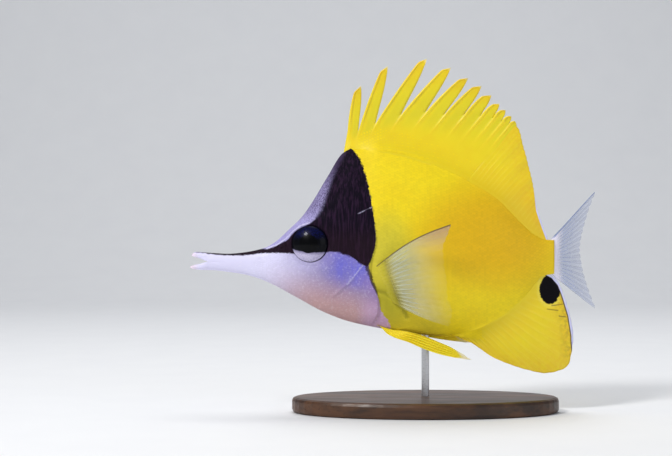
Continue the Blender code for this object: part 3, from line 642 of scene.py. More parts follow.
def spiny_fin():
    """The front dorsal fin: strong spines with blunt free ends, each with a flag of yellow skin behind it."""
    below, above, shoulder, spine_edge = 16, 24, 0.86, 0.34
    columns = (0, 0.06, 0.13, 0.2, 0.27, spine_edge, 0.45, 0.58, 0.72, 0.86, 1)
    place, level = np.meshgrid(columns, np.arange(below + above + 1), indexing="ij")
    free = level > below
    part = np.where(free, (level - below) / above, level / below)
    # Points in the plane are complex numbers: s is the real part and h the imaginary one
    feet = [(complex(s, top(s) - FIN_SINK), complex(*notch))
            for s, notch, *_ in (*DORSAL_SPINES, SPINY_FIN_END)]
    sheets, faces = [], []
    for number, ((root, notch), (next_root, next_notch)) in enumerate(zip(feet, feet[1:])):
        tip = complex(*DORSAL_SPINES[number][2])
        heading = (tip - notch) / abs(tip - notch)
        across = -1j * heading
        spine_end = tip - (heading * 3.3 + across * 1.9) * min(1, abs(tip - next_notch) / 9)
        up = np.minimum(part / shoulder, 1)
        front = notch + (spine_end - notch) * up - across * 1.6 * up * (1 - up)
        front = front + (tip - spine_end) * np.maximum(part - shoulder, 0) / (1 - shoulder)
        front = np.where(free, front, root + (notch - root) * part)
        rear = next_notch + (tip - next_notch) * part + across * 3.2 * part ** 2 * (1 - part)
        rear = np.where(free, rear, next_root + (next_notch - next_root) * part)
        gap = abs(rear - front)
        spine = np.minimum(2 * SPINE_RADIUS * np.where(free, 1 - 0.5 * part, 1), gap * 0.55)
        foot = spine / np.maximum(gap, 1e-6)
        beyond = (place - spine_edge) / (1 - spine_edge)
        share = np.where(beyond <= 0, place / spine_edge * foot, foot + beyond * (1 - foot))
        at = front + (rear - front) * share
        s, h = at.real, at.imag
        base = upright_half(np.maximum(h - top(s), 0), s, True) + 0.02
        if number == 0:
            base = base * np.where(free, 1, 0.25 + 0.75 * np.minimum(abs(at - front) / 2.2, 1) ** 0.5)
        if number == len(DORSAL_SPINES) - 1:
            base = np.where(free, base, np.maximum(base - 0.3 * ease((place - 0.8) / 0.2), 0.03))
        base = base * np.where(free & (place == 0), 0.6, 1)
        grown = np.where(free, 0.5 + 0.5 * ease(part / 0.35), 0.5 * ease((part - 0.3) / 0.7))
        ridge = spine / 2 * np.sqrt(np.maximum(1 - (2 * place / spine_edge - 1) ** 2, 0)) * grown
        wrinkle = 0.02 * np.sin(9 * place + 0.9 * level + number) * ease(part * 3) * free
        half = abs((np.hypot(base, ridge) + wrinkle) * np.where(level == below + above, 0.45, 1))
        sweep = 0.35 * np.sin(1.3 * number + 2 * part) * place * part * free
        flag = ease((place - 0.3) / 0.3) * np.where(free, 1, ease(part * 1.9 - 0.9))
        first = number * place.size
        faces += [tuple(first + i for i in face) for face in grid_faces(*place.shape)]
        sheets.append(np.stack([s, h, half, sweep, ridge / SPINE_RADIUS, part * free, flag]).reshape(7, -1))
    sheet = np.concatenate(sheets, 1)
    # Points at the same place become one
    first_at = {}
    keep = [first_at.setdefault(key, i) for i, key in enumerate(zip(*np.round(sheet[:2], 3)))]
    used, numbers = np.unique(keep, return_inverse=True)
    faces = [tuple(dict.fromkeys(numbers[list(face)].tolist())) for face in faces]
    faces = [face for face in faces if len(face) > 2]
    s, h, half, sweep, ray, reach, flag = sheet[:, used]
    values = {**markings(s, h), "ray": ray, "outer": ease((reach - 0.35) / 0.65),
              "flag": flag * (1 - reach) ** 0.5, "tip": ease((reach - 0.93) / 0.07)}
    return two_sided("dorsal_fin_front", world(s, sweep - half, h), world(s, sweep + half, h), faces, values)


def clear_film(ridge, reach, edge, lead, film_cover, ray_cover, ray_end, outer_cover):
    """Values for a clear fin: its rays, root, hazy front and dark edge, and how much it covers."""
    ray = ease((ridge - 0.35) / 0.5) * (1 - (1 - ray_end) * ease((reach - 0.15) / 0.5))
    edge = ease((edge - 0.35) / 0.45) * ease(reach / 0.08)
    fade = np.maximum(1 - (1 - outer_cover) * ease((reach - 0.2) / 0.8), 0.85 * lead)
    cover = (film_cover + (ray_cover - film_cover) * ease(ray)) * fade
    cover = np.maximum(np.maximum(cover, ease((0.26 - reach) / 0.2)), 0.85 * edge)
    return {"ray": ray, "edge": edge, "cover": cover, "root": ease((0.3 - reach) / 0.18),
            "haze": lead * ease((reach - 0.35) / 0.55)}


def tail_fin():
    """The clear tail fin, its middle turned further to the fish's right than its lobes."""
    across, reach = fin_grid(TAIL_RAYS)
    v = 1 - 2 * across
    low, high = bottom(TAIL_START) + 0.3, top(TAIL_START) - 0.3
    root_h = low + (high - low) * (v + 1) / 2
    tip_h = TAIL_MIDDLE_H + TAIL_HALF_SPREAD * np.sign(v) * np.abs(v) ** 1.08
    h = root_h + (tip_h - root_h) * reach ** 0.9
    back = TAIL_MIDDLE + (TAIL_LOBE - TAIL_MIDDLE) * np.abs(v) ** 1.8 - 0.35 * scallops(across * TAIL_RAYS)
    out = back * reach
    turn_start = math.degrees(2 * SWAY_RATE * (TAIL_START - SWAY_START))
    turn_end = TAIL_TURN_MIDDLE + (TAIL_TURN_LOBE - TAIL_TURN_MIDDLE) * np.abs(v) ** 1.5
    turned = ease(0.25 + 0.75 * reach) * np.minimum(1, 3 * reach)
    turn = np.radians(turn_start + (turn_end - turn_start) * turned)
    s = TAIL_START + out * np.cos(turn)
    y = sway(TAIL_START) + out * np.sin(turn) + 0.25 * np.sin(across * 19) * reach ** 2
    ridge = ray_ridges(across, reach, TAIL_RAYS, 0.3)
    edge = bell(1 - np.abs(v), 0.02)
    half = fin_half(out * 1.3, 2 * np.sqrt(np.maximum(1 - (0.85 * v) ** 2, 0.05)))
    half = half + (0.17 * ridge + 0.25 * edge) * ease(out / 3) * (1 - 0.7 * reach)
    middle = np.stack([s - BALANCE_S, y, h + AXIS_HEIGHT], -1).reshape(-1, 3) * MM
    offset = (np.stack([-np.sin(turn), np.cos(turn), 0 * turn], -1) * half[..., None]).reshape(-1, 3) * MM
    values = clear_film(ridge, reach, edge * (v > 0), 0 * reach, 0.3, 0.5, 1, 0.5)
    return two_sided("tail_fin_clear", middle - offset, middle + offset, grid_faces(*s.shape), values)


def pectoral_fin(label, side):
    """A spread, clear side fin with a fleshy yellow root, fanning back from behind the gill cover."""
    across, reach = fin_grid(PECTORAL_RAYS)
    (s_high, h_high), (s_low, h_low) = PECTORAL_ROOT
    root_s, root_h = s_high + (s_low - s_high) * across, h_high + (h_low - h_high) * across
    tip_s, tip_h = along(PECTORAL_MARGIN)(across)
    length = np.hypot(tip_s - root_s, tip_h - root_h)
    reached = reach * (1 - 0.35 * scallops(across * PECTORAL_RAYS) / length)
    bow = 2.6 * np.sin(math.pi * reach ** 0.9) * (1 - 1.4 * across)
    s, h = root_s + (tip_s - root_s) * reached, root_h + (tip_h - root_h) * reached + bow
    away = side_width(root_s, root_h) - 1.7 + 2.4 * ease(reach * 4)
    away = away + 0.92 * math.tan(PECTORAL_FLARE) * (s - root_s)
    away = away + 1.4 * np.sin(math.pi * across) * reach + 0.2 * np.sin(across * 23) * reach ** 2
    ridge = ray_ridges(across, reach, PECTORAL_RAYS, 0.34)
    edge = bell(across, 0.02)
    half = fin_half(length * reached * 1.2, 1.25)
    half = half + (0.15 * ridge + 0.3 * edge) * ease(length * reached / 4) * (1 - 0.7 * reach)
    values = {**markings(s, h), **clear_film(ridge, reach, edge, bell(across, 0.2), 0.36, 0.48, 0.45, 0.08)}
    off_s, off_y = half * math.sin(PECTORAL_FLARE), half * math.cos(PECTORAL_FLARE)
    sheets = [world(s - out * off_s, side * (away + out * off_y), h) for out in (1, -1)]
    return two_sided("pectoral_fin_clear_" + label, *sheets, grid_faces(*s.shape), values)


def pelvic_fin(label, side):
    """A folded belly fin: a spine and five rays laid close together, trailing back under the belly."""
    across, reach = fin_grid(PELVIC_FOLDS, 60)
    fold = math.pi * PELVIC_FOLDS * across
    root_s = PELVIC_ROOT[0] + (PELVIC_ROOT[1] - PELVIC_ROOT[0]) * across
    end_s = PELVIC_UPPER[-1][0] - 4.4 * np.abs(across - 0.35) - 0.5 * np.abs(np.sin(fold))
    s = root_s + (end_s - root_s) * reach
    upper, lower = through(PELVIC_UPPER)(s), through(PELVIC_LOWER)(s)
    h = lower + (upper - lower) * across
    if side > 0:
        h = h + FAR_PELVIC_LIFT * (1 - (1 - reach) ** 2)
    root_h = bottom(root_s) + 1 - 0.9 * across
    h = root_h + (h - root_h) * ease((8 - 4.8 * across) * reach)
    ridge = np.abs(np.cos(fold)) ** 3
    leading = bell(across, 0.07)
    half = 0.16 + 0.6 * bell(reach, 0.3) + (0.26 * ridge + 0.3 * leading) * (1 - 0.75 * reach)
    away = PELVIC_SIDE + math.tan(PELVIC_FLARE) * (s - PELVIC_ROOT[0])
    y = PELVIC_ROOT_SIDE + (away - PELVIC_ROOT_SIDE) * ease(3.5 * reach)
    y = y + 0.22 * np.cos(2 * fold) * np.sin(math.pi * reach)
    ray = np.maximum(ridge, leading)
    values = {**markings(s, h), "ray": ray, "between": 1 - ray, "pelvic": np.ones(s.shape),
              "tip": ease((reach - 0.86) / 0.07)}
    near, far = world(s, side * (y + half), h), world(s, side * (y - half), h)
    return two_sided("pelvic_fin_folded_" + label, near, far, grid_faces(*s.shape), values)


# Eyes

def build_eye(label, side):
    """A flattened ball with a domed clear front, marked by its distance from the middle of the pupil."""
    rings, segments = 59, 96
    polar = np.linspace(0, math.pi, rings + 2)[1:-1]
    p, a = np.meshgrid(polar, np.linspace(0, 2 * math.pi, segments, endpoint=False), indexing="ij")
    rho = EYE_RADIUS * np.sin(p)
    front, back = rings * segments, rings * segments + 1
    x, z = (np.append(rho * across, (0, 0)) for across in (np.cos(a), np.sin(a)))
    y = EYE_HALF_DEPTH * np.cos(p) + EYE_DOME * bell(rho, 4.2) * (p < math.pi / 2)
    y = np.append(y, (EYE_HALF_DEPTH + EYE_DOME, -EYE_HALF_DEPTH))
    rows = np.arange(front).reshape(rings, segments).tolist()
    faces = [face for near, far in zip(rows, rows[1:]) for face in join_rings(near, far)]
    faces += fan(rows[0], front) + fan(rows[-1], back)
    s = EYE_S + x * math.cos(EYE_TURN) - y * math.sin(EYE_TURN)
    out = EYE_OUT + x * math.sin(EYE_TURN) + y * math.cos(EYE_TURN)
    values = {"rho": np.hypot(x, z), "up": z, "low": z - 0.015 * x * x + 0.08 * x}
    return outward(make_piece("eyeball_" + label, world(s, side * out, EYE_H + z), faces, values))


# Scales

FIN_REACH = 9
FIRST_STATION = 8
STATIONS = 360
ROUND_STEPS = 181


def skin_table():
    """The skin's side as a grid: stations along it, and shares of the way from its middle down and up."""
    stations = np.linspace(FIRST_STATION, SKIN_END, STATIONS)
    s, angles = np.meshgrid(stations, np.linspace(-math.pi / 2, math.pi / 2, ROUND_STEPS), indexing="ij")
    y, h = section(s, angles)
    run = np.cumsum(np.hypot(np.diff(y, prepend=y[:, :1]), np.diff(h, prepend=h[:, :1])), 1)
    run -= run[:, ROUND_STEPS // 2:ROUND_STEPS // 2 + 1]
    shares = np.linspace(-1, 1, ROUND_STEPS)
    for k in range(STATIONS):
        wanted = np.where(shares < 0, -shares * run[k, 0], shares * run[k, -1])
        angles[k] = np.interp(wanted, run[k], angles[k])
    y, h = skin_side(s, angles)
    dy, dh = np.gradient(y, axis=1), np.gradient(h, axis=1)
    length = np.hypot(dy, dh) + 1e-9
    ends = np.repeat(run[:, :1], ROUND_STEPS, 1), np.repeat(run[:, -1:], ROUND_STEPS, 1)
    return np.stack([y, h, dh / length, -dy / length, *ends])


def look_up(table, station, share):
    """Values of the skin's grid between its points."""
    k = np.clip((station - FIRST_STATION) / (SKIN_END - FIRST_STATION) * (STATIONS - 1), 0, STATIONS - 1.001)
    m = np.clip((share + 1) / 2 * (ROUND_STEPS - 1), 0, ROUND_STEPS - 1.001)
    i, j = k.astype(int), m.astype(int)
    f, g = k - i, m - j
    near, far = (table[:, n, j] * (1 - g) + table[:, n, j + 1] * g for n in (i, i + 1))
    return near * (1 - f) + far * f


def surface(s, arc, table):
    """A place at a distance up or down the skin's side, its outward lean, and how far along a fin it is."""
    lowest, highest = look_up(table, s, np.zeros(np.shape(s)))[4:]
    y, h, lean_y, lean_h = look_up(table, s, np.where(arc < 0, -arc / lowest, arc / highest))[:4]
    over = np.where(s > DORSAL_START, np.maximum(arc - highest, 0), 0)
    under = np.where(s > ANAL_START, np.maximum(lowest - arc, 0), 0)
    on_fin = over + under > 0
    fin_y = np.where(arc > 0, upright_half(over, s, True), upright_half(under, s, False))
    y, lean_y, lean_h = np.where(on_fin, fin_y, y), np.where(on_fin, 1, lean_y), np.where(on_fin, 0, lean_h)
    return y, h + over - under, lean_y, lean_h, over, under, np.maximum(arc - highest, lowest - arc)


# The nine points of a scale's rim, its middle, and its root under the middle: back, up and out
SCALE_FORM = np.array([
    (-0.55, 0, -0.8), (-0.32, 0.36, -0.5), (0, 0.52, 0.1), (0.32, 0.4, 0.75), (0.52, 0.16, 1),
    (0.52, -0.16, 1), (0.32, -0.4, 0.75), (0, -0.52, 0.1), (-0.32, -0.36, -0.5), (0.05, 0, 0.95),
    (0, 0, -3.5),
])


def scale_coat(name, side, size, rise, keep, rng, table):
    """Overlapping thin scales in staggered rows, pointing back, each a closed plate rooted in the skin."""
    step_s, step_arc = (size * step for step in SCALE_STEPS)
    s, arc = np.meshgrid(np.arange(9, SKIN_END, step_s), np.arange(-52, 58, step_arc), indexing="ij")
    arc = arc + 0.5 * step_arc * (np.arange(len(arc)) % 2)[:, None]
    s, arc = s.ravel(), arc.ravel()
    s = s + rng.uniform(-0.06, 0.06, s.size) * size
    arc = arc + rng.uniform(-0.05, 0.05, s.size) * size
    _, h, _, _, over, under, past = surface(s, arc, table)
    chosen = keep(s, h, over, under) & ((past < -0.15 * size) | (over + under > 0))
    s, arc, h, up_fin = (row[chosen] for row in (s, arc, h, over + under))
    grow = 1 - 0.45 * ease(up_fin / FIN_REACH) - 0.35 * ease((s - 118) / 20)
    grow = (size * grow * rng.uniform(0.94, 1.06, s.size))[:, None]
    form_s, form_arc, height = SCALE_FORM.T
    point_s = s[:, None] + SCALE_LENGTH * form_s * grow
    point_arc = arc[:, None] + SCALE_WIDTH * form_arc * grow
    count, middle = len(SCALE_FORM), len(SCALE_FORM) - 2
    rooted = [*range(middle + 1), middle]
    y, point_h, lean_y, lean_h = surface(point_s[:, rooted], point_arc[:, rooted], table)[:4]
    lift = height * (rise * ease((s - 22) / 14))[:, None]
    y, point_h = y + lift * lean_y, point_h + lift * lean_h
    rim = list(range(middle))
    plate = [face[::-side] for a, b, c in fan(rim, middle) for face in ((a, b, c), (b, a, c + 1))]
    faces = [(first + a, first + b, first + c) for first in range(0, y.size, count) for a, b, c in plate]
    values = markings((s[:, None] + point_s) / 2, (h[:, None] + point_h) / 2)
    # A random tone for each scale, and a painted highlight along its raised free edge
    uneven, edge_highlight = rng.uniform(-1, 1, (len(s), 1)), ease((height - 0.8) / 0.2)
    values["lightness"] = LIGHTNESS + 0.04 * uneven + 0.06 * edge_highlight
    piece = make_piece(name, world(point_s, side * y, point_h), faces, values)
    mark_sharp(piece, lambda ends: (ends % count < middle).all(1))
    u = 0.04 + 0.92 * (s / SKIN_END)[:, None] + BAKE_PATCH * form_s
    v = 0.5 + (arc / 130)[:, None] + BAKE_PATCH * form_arc
    loops = np.empty(len(piece.data.loops), np.int64)
    piece.data.loops.foreach_get("vertex_index", loops)
    flat = np.stack([u.ravel(), v.ravel()], 1)[loops]
    piece.data.uv_layers.new(name="OFBake").data.foreach_set("uv", flat.ravel().astype(np.float32))
    return piece


def on_trunk(s, h, over, under):
    """Where the trunk's larger scales grow: behind the gill cover, and a way up the dorsal and anal fins."""
    fin_line = through([(60.6, 49.5), (82, 54.6), (112, 53.5), *SOFT_DORSAL_MARGIN])
    room_up = 0.75 * (fin_line(s) - top(s)) - 0.4
    room_down = 0.65 * (bottom(s) - through([(99.5, -31), *ANAL_MARGIN[:8]])(s)) - 0.5
    behind = s > gill_edge_s(-h) + 0.9 - 1.2 * ease((h - 6) / 4)
    fin_top = (over > 0) & (over < np.minimum(room_up, 8.5)) & (s > DORSAL_START + 2.4) & (s < 135)
    fin_low = (under > 0) & (under < np.minimum(room_down, 8.5)) & (s < 135)
    body = (over == 0) & (under == 0)
    fin_foot = (s - 74.5) ** 2 / 9 + (h + 10.5) ** 2 / 52 < 1
    return behind & (body | fin_top | fin_low) & ~fin_foot & (s < SKIN_END - 1.2)


def on_head(s, h, over, under):
    """Where the head's small scales grow: not on the snout, the eye, the nostrils or past the gill cover."""
    behind_snout = s > 23 + 5 * np.sin(7.3 * h + 3.1 * s) ** 2
    ahead = s < gill_edge_s(-h) - 0.5 + 0.3 * ease((h - 6) / 4)
    eye = np.hypot(s - EYE_S, h - EYE_H) > EYE_RADIUS + 1.3
    nostril = np.hypot(s - 35.8, h - 3) > 2.4
    return behind_snout & ahead & eye & nostril & (over == 0) & (under == 0)


# Materials

def fill(tree, node, inputs):
    """Sets a node's inputs, each to a number, a hex colour, a mesh's stored value or a node's output."""
    for key, value in inputs.items():
        if isinstance(value, str) and value[0] != "#":
            value = add(tree, "Attribute", output="Fac", attribute_name=value)
        if isinstance(value, bpy.types.NodeSocket):
            tree.links.new(value, node.inputs[key])
        else:
            node.inputs[key].default_value = linear(value) if isinstance(value, str) else value


def add(tree, kind, inputs=None, output=0, **settings):
    """Adds a node with its settings and inputs, and gives one of its outputs."""
    node = tree.nodes.new("ShaderNode" + kind)
    for key, value in settings.items():
        setattr(node, key, value)
    fill(tree, node, inputs or {})
    return node.outputs[output]


def new_material(recipe, name="", *colours):
    """A material, named after its recipe or its use, whose surface has the inputs that the recipe gives."""
    material = bpy.data.materials.new(name or recipe.__name__)
    material.use_nodes = True
    tree = material.node_tree
    fill(tree, tree.nodes["Principled BSDF"], recipe(tree, *colours))
    return material


def grain(tree, size_mm, stretch=(1, 1, 1), detail=3, roughness=0.55):
    """A mottling whose grain is a real size in millimetres, drawn out by the stretch."""
    place = add(tree, "TexCoord", output="Object")
    place = add(tree, "Mapping", {"Vector": place, "Scale": stretch})
    return add(tree, "TexNoise", {
        "Vector": place, "Scale": 1 / (size_mm * MM), "Detail": detail, "Roughness": roughness})


def across_border(tree, value, start, end, low=0, high=1, wander=None):
    """A soft step as a value goes from start to end, along a wandering border."""
    if wander is not None:
        value = add(tree, "Math", {0: value, 1: wander}, operation="ADD")
    limits = {"From Min": start, "From Max": end, "To Min": low, "To Max": high}
    return add(tree, "MapRange", {"Value": value, **limits}, interpolation_type="SMOOTHSTEP")


def paint(tree, ground, *coats):
    """Lays coats of colour on a ground, each as strong as the product of its strengths."""
    for colour, strength, *others in coats:
        for other in others:
            strength = add(tree, "Math", {0: strength, 1: other}, operation="MULTIPLY")
        ground = add(tree, "Mix", {0: strength, 6: ground, 7: colour}, 2, data_type="RGBA")
    return ground


def yellow_ground(tree, warmth=0.85):
    """The living yellow: clear lemon in front, deeper along the rear flank, with painted shade greener by the
    gills, darker low and duller on the belly.
    """
    cloud = across_border(tree, grain(tree, 9), 0.35, 0.7)
    return paint(
        tree, "#F2D81E",
        ("#EBC91A", cloud, 0.35),
        ("#DFAE14", "warm", warmth),
        # Painted shade round the pectoral fin's root and behind the gill cover
        ("#C4BC3C", "green", 0.75),
        # Painted shade on the low lobe under the pectoral fin's root
        ("#A09A1C", "olive", 0.6),
        # Painted shade along the lower belly
        ("#C0B23A", "belly", 0.6))


def wet_fish_skin(tree):
    """Living fish skin under a film of mucus: saturated colour and a soft, slightly broken wet gloss."""
    edge_grain = grain(tree, 1.3)
    ragged = add(tree, "MapRange", {"Value": edge_grain, "To Min": -0.4, "To Max": 0.4})
    slightly = add(tree, "MapRange", {"Value": edge_grain, "To Min": -0.25, "To Max": 0.25})
    # Silvery lower face: pale lilac along the snout, blue lilac cheek, pinkish throat
    brushed = across_border(tree, grain(tree, 2.4, (1, 1, 0.4), 4), 0.25, 0.75, 0.45, 1)
    silver = across_border(tree, grain(tree, 0.8, detail=2), 0.5, 0.8)
    face = paint(
        tree, "#E0DDFA",
        ("#8B80B4", "back_face"),
        ("#6D6BD2", "blue_cheek", brushed),
        ("#9377BC", "by_gill", 0.6),
        ("#CBA19C", "throat", 0.9),
        ("#D9B2DC", "chest", 0.4),
        ("#F3DCE6", "lip", 0.7),
        ("#EEECFB", silver, 0.25),
        # Painted highlight along the cheek's ridge
        ("#D6D2F2", across_border(tree, "cheek", -0.25, 0.15), 0.45))
    # Forehead band between the outline and the mask: grey lavender with dark freckles; its lavender is partly
    # the band's own colour and partly a painted sheen of light from above on the forehead's top
    freckles = across_border(tree, grain(tree, 0.48, detail=2), 0.44, 0.6)
    brow = paint(
        tree, "#9890BC",
        ("#564B74", freckles),
        ("#B6B0E8", "brow_low", 0.6),
        ("#3A2B4C", "brow_high"))
    # Mask: brown violet black, with fine upright streaks, its front border hazy up the forehead
    streaks = across_border(tree, grain(tree, 0.7, (1, 1, 0.09), 2), 0.4, 0.72)
    dark = paint(tree, "#0E0716", ("#2A182F", streaks), ("#26161F", "mask_low", 0.5))
    crisp = across_border(tree, "mask", -0.35, 0.3, wander=ragged)
    hazy = across_border(tree, "mask", -1.1, 1.5, wander=ragged)
    masked = add(tree, "Mix", {0: "mask_haze", 2: crisp, 3: hazy})
    colour = paint(
        tree, yellow_ground(tree),
        # Painted shade in the crease along the pectoral fin's root
        ("#7E7A14", across_border(tree, "fold", -0.5, 0.5, wander=slightly), 0.45),
        # Painted shade along the belly's keel above the pelvic fins
        ("#8A5F1A", "underside", 0.5),
        (paint(tree, face, (brow, across_border(tree, "above_snout", -0.3, 0.5))),
         across_border(tree, "face", -0.15, 0.25, wander=ragged)),
        (dark, masked),
        ("#CFCBEA", across_border(tree, "brow", -0.2, 0.15, wander=slightly), 0.75),
        # Painted shade in the gill opening
        ("#2B1A26", across_border(tree, "gill", -0.3, 0.3, wander=ragged), 0.85))
    # Each scale is a touch lighter or darker than the next, and lighter at its free edge as a painted
    # highlight
    broken = across_border(tree, grain(tree, 2.2), 0.3, 0.7, 0.42, 0.56)
    matt = add(tree, "MapRange", {"Value": masked, "To Max": 0.22})
    pores = grain(tree, 0.45, detail=2)
    return {
        "Base Color": add(tree, "HueSaturation", {"Color": colour, "Value": "lightness"}),
        "Roughness": add(tree, "Math", {0: broken, 1: matt}, operation="ADD"),
        "IOR": 1.38,
        "Specular IOR Level": add(tree, "MapRange", {"Value": masked, "To Min": 0.3, "To Max": 0.12}),
        "Coat Weight": add(tree, "MapRange", {"Value": masked, "To Min": 0.06, "To Max": 0}),
        "Coat Roughness": 0.22,
        "Normal": add(tree, "Bump", {"Strength": 0.16, "Distance": 0.00012, "Height": pores})}


def yellow_fin_skin(tree):
    """Fin skin over bony rays: opaque lemon at the root and warmer outward, with a soft inner glow."""
    mottled = across_border(tree, grain(tree, 1.3), 0.3, 0.7, 0.25, 0.5)
    threads = across_border(tree, grain(tree, 1.5), 0.35, 0.65)
    wander = add(tree, "MapRange", {"Value": grain(tree, 0.9), "To Max": 0.9})
    spot = across_border(tree, "spot", 0.3, 0.62, wander=wander)
    colour = paint(
        tree, yellow_ground(tree, 0.4),
        ("#F4E32E", "pelvic"),
        ("#F7E24A", "ray", 0.22),
        ("#EE9F1E", "between", 0.16),
        ("#CBC72C", "flag", 0.5),
        ("#E8B01C", "outer", mottled),
        ("#F3EDDA", "tip", 0.8),
        ("#F6E65A", across_border(tree, "spot", -1.2, 0, wander=wander), 0.5),
        ("#5A4418", "brown_edge", threads, 0.28),
        ("#3A2C14", across_border(tree, "thread", -0.1, 0.25), 0.6),
        ("#060409", spot),
        ("#1A1622", across_border(tree, "blue", -0.3, -0.05), "low_fin", 0.9),
        ("#D3D6FA", across_border(tree, "blue", 0.15, 0.4)))
    fine = grain(tree, 0.35, detail=2)
    return {
        "Base Color": colour,
        "Roughness": across_border(tree, grain(tree, 1.4), 0.3, 0.7, 0.36, 0.5),
        "IOR": 1.38,
        "Specular IOR Level": add(tree, "MapRange", {"Value": spot, "To Min": 0.5, "To Max": 0.12}),
        "Coat Weight": add(tree, "MapRange", {"Value": spot, "To Min": 0.15, "To Max": 0.02}),
        "Coat Roughness": 0.25,
        "Subsurface Weight": 0.25,
        "Subsurface Radius": (0.0016, 0.0011, 0.0005),
        "Subsurface Scale": 1,
        "Normal": add(tree, "Bump", {"Strength": 0.14, "Distance": 0.0001, "Height": fine})}


def clear_fin_membrane(tree, root_hex, ray_hex, film_hex, edge_hex):
    """Clear fin membrane: a see-through film with pale bony rays, and a yellow root or one of its own."""
    colour = paint(
        tree, film_hex,
        (ray_hex, "ray"),
        (root_hex or yellow_ground(tree), "root"),
        ("#A58C98", "haze"),
        (edge_hex, "edge"))
    return {
        "Base Color": colour,
        "Alpha": "cover",
        "Roughness": across_border(tree, grain(tree, 1.2), 0.3, 0.7, 0.25, 0.4),
        "IOR": 1.38}


def wet_fish_eye(tree):
    """A wet eyeball: blue black iris, black pupil, a silver crescent below and a polished clear surface."""
    streaks = across_border(tree, grain(tree, 0.5), 0.4, 0.65)
    wander = add(tree, "MapRange", {"Value": grain(tree, 1.1), "To Min": -0.4, "To Max": 0.4})
    # Silver crescent: grey along its top edge as painted shade, paler further down
    silver = paint(
        tree, "#8D86A8",
        (paint(tree, "#CEC8E4", ("#B6AED2", streaks)), across_border(tree, "low", -3.2, -4.6, wander=wander)))
    colour = paint(
        tree, "#04051A",
        ("#0B0F48", streaks),
        ("#04040A", across_border(tree, "up", 4.2, 1.2)),
        ("#07070F", across_border(tree, "rho", 6, 7.2)),
        (silver, across_border(tree, "low", -3, -3.5, wander=wander), across_border(tree, "rho", 7.05, 6.75)),
        ("#020204", across_border(tree, "rho", PUPIL_RADIUS + 0.2, PUPIL_RADIUS - 0.05)))
    return {
        "Base Color": colour,
        "Roughness": add(tree, "MapRange", {"Value": streaks, "To Min": 0.28, "To Max": 0.4}),
        "IOR": 1.38,
        "Specular IOR Level": 0.1,
        "Coat Weight": 0.2,
        "Coat Roughness": 0.02,
        "Coat IOR": 1.33}


def oiled_walnut(tree):
    """Oiled walnut, sanded and rubbed: long dark grain lines, open pores and a soft satin sheen."""
    rings = grain(tree, 7, (0.14, 1, 1), 5, 0.62)
    pores = grain(tree, 0.9, (0.05, 1, 1), 3, 0.6)
    return {
        "Base Color": paint(
            tree, "#5B3A22",
            ("#2E1B10", across_border(tree, rings, 0.35, 0.68)),
            ("#1C100A", across_border(tree, pores, 0.55, 0.75), 0.55)),
        "Roughness": across_border(tree, pores, 0.3, 0.75, 0.32, 0.5),
        "IOR": 1.5,
        "Normal": add(tree, "Bump", {"Strength": 0.2, "Distance": 0.0001, "Height": pores})}


def brushed_steel(tree):
    """Stainless steel rod, drawn and brushed: fine rings round it and a soft bright line down it."""
    brush = grain(tree, 0.35, (0.2, 0.2, 3), 2)
    return {
        "Base Color": paint(tree, "#B4B5B8", ("#D9D9DB", brush)),
        "Roughness": across_border(tree, brush, 0.3, 0.7, 0.26, 0.4),
        "Metallic": 1}


def pale_paper(tree):
    """Matt backdrop paper, nearly white and slightly cool."""
    return {
        "Base Color": paint(tree, "#E4E5E8", ("#E9EAEC", grain(tree, 30))),
        "Roughness": 0.9}


# Stage

def build_backdrop():
    """A floor that sweeps up into a wall behind."""
    front, wall, height, sweep, side = -1.6, 1.4, 2.2, 0.5, 2.6
    turns = np.linspace(0, math.pi / 2, 16)
    profile = [(wall - sweep + sweep * math.sin(turn), sweep - sweep * math.cos(turn)) for turn in turns]
    profile = [(front, 0), *profile, (wall, height)]
    points = [(x, y, z) for x in (-side, side) for y, z in profile]
    count = len(profile)
    faces = [(i, i + 1, count + i + 1, count + i) for i in range(count - 1)]
    backdrop = make_piece("backdrop", points, faces)
    backdrop.data.materials.append(new_material(pale_paper))


def build_lights():
    """Soft boxes: a key above the fish's left shoulder, a broad fill, one from above and one on the wall."""
    on_fish, on_wall = (0, 0, 0.07), (0, 1.4, 0.3)
    lamps = (
        ("key_box", (-0.52, -0.58, 0.72), on_fish, 0.24, 6.4, (1, 0.985, 0.96)),
        ("fill_box", (0.75, -0.7, 0.25), on_fish, 0.7, 1.2, (0.93, 0.95, 1)),
        ("top_box", (0.05, 0.25, 0.85), on_fish, 0.5, 2.6, (1, 1, 1)),
        ("wall_box", (0, 0.7, 1.5), on_wall, 1, 6, (1, 1, 1)),
    )
    for name, where, target, size, power, colour in lamps:
        lamp = bpy.data.lights.new(name, "AREA")
        lamp.shape, lamp.size, lamp.energy, lamp.color = "DISK", size, power, colour
        holder = put(name, lamp)
        holder.location = where
        holder.rotation_euler = (Vector(target) - Vector(where)).to_track_quat("-Z", "Y").to_euler()
    sky = bpy.data.worlds.new("studio_sky")
    sky.use_nodes = True
    light = sky.node_tree.nodes["Background"].inputs
    light["Color"].default_value, light["Strength"].default_value = (0.9, 0.94, 1, 1), 0.3
    bpy.context.scene.world = sky
    bpy.context.scene.view_settings.view_transform = "Standard"


# The photo's size, the tip of the upper jaw in it at the height of the body's axis, and its scale
IMAGE_SIZE = (672, 456)
SNOUT_AT = (192, 255)
PIXEL_MM = 0.39
LENS_MM = 90
SENSOR_MM = 36


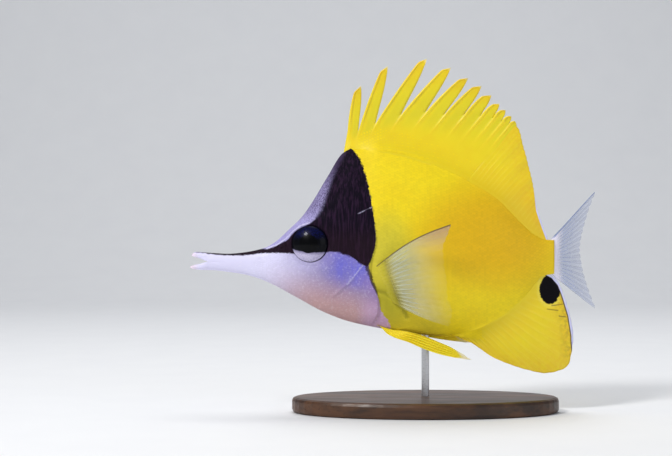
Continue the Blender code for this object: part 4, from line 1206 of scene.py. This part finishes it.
def build_camera():
    """A level camera square to the fish's left side, framing it as in the photograph."""
    middle_s = (IMAGE_SIZE[0] / 2 - SNOUT_AT[0]) * PIXEL_MM
    middle_h = (SNOUT_AT[1] - IMAGE_SIZE[1] / 2) * PIXEL_MM
    distance = IMAGE_SIZE[0] * PIXEL_MM * LENS_MM / SENSOR_MM
    data = bpy.data.cameras.new("camera")
    data.lens, data.sensor_width = LENS_MM, SENSOR_MM
    camera = put("camera", data)
    camera.location = ((middle_s - BALANCE_S) * MM, -distance * MM, (middle_h + AXIS_HEIGHT) * MM)
    camera.rotation_euler = (math.pi / 2, 0, 0)
    bpy.context.scene.camera = camera


def place_piece(piece, material, slot, *nodes):
    """Finishes a piece, rides it on the fish and hides the solids it stands for."""
    piece.data.materials.append(material)
    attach(piece, "root")
    if nodes:
        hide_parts(*nodes)


def build_fish():
    """Every visible piece of the fish."""
    skin_finish, fin_finish, eye_finish = map(new_material, (wet_fish_skin, yellow_fin_skin, wet_fish_eye))
    side_finish, tail_finish = (new_material(clear_fin_membrane, *rest) for rest in (
        ("clear_side_fin", None, "#DDE1D2", "#C6CCB8", "#6E5C3C"),
        ("clear_tail_fin", "#F2EEFF", "#A9B4DC", "#93A8DA", "#7688B4")))
    place_piece(build_skin(), skin_finish, "yellow_skin", "head", "snout", "upper_jaw", "lower_jaw", "trunk",
                "tail_stalk")
    place_piece(spiny_fin(), fin_finish, "yellow_fin", "dorsal_fin_spiny")
    soft_dorsal = rayed_fin("dorsal_fin_rear", SOFT_DORSAL_ROOTS, SOFT_DORSAL_MARGIN, True, SOFT_DORSAL_RAYS)
    place_piece(soft_dorsal, fin_finish, "yellow_fin", "dorsal_fin_soft")
    anal = rayed_fin("anal_fin_rayed", ANAL_ROOTS, ANAL_MARGIN, False, ANAL_SPINES + ANAL_RAYS, ANAL_SPINES)
    place_piece(anal, fin_finish, "yellow_fin", "anal_fin")
    place_piece(tail_fin(), tail_finish, "clear_fin", "tail_fin")
    table = skin_table()
    rng = np.random.default_rng(SEED)
    for label, side in (("left", -1), ("right", 1)):
        place_piece(build_eye(label, side), eye_finish, "eye_gloss", "eye_" + label)
        place_piece(pectoral_fin(label, side), side_finish, "clear_fin", "pectoral_fin_" + label)
        place_piece(pelvic_fin(label, side), fin_finish, "yellow_fin", "pelvic_fin_" + label)
        body_coat = scale_coat("trunk_scales_" + label, side, BODY_SCALE, SCALE_LIFT, on_trunk, rng, table)
        place_piece(body_coat, skin_finish, "yellow_skin")
        head_coat = scale_coat("head_scales_" + label, side, HEAD_SCALE, HEAD_SCALE_LIFT, on_head, rng, table)
        place_piece(head_coat, skin_finish, "head_skin")


def build_stand():
    """The stand keeps its solids and takes its finishes."""
    for node, recipe in (("stand_base", oiled_walnut), ("stand_rod", brushed_steel)):
        finishes = frame["nodes"][node].data.materials
        finishes.clear()
        finishes.append(new_material(recipe))


build_fish()
build_stand()
build_backdrop()
build_lights()
build_camera()
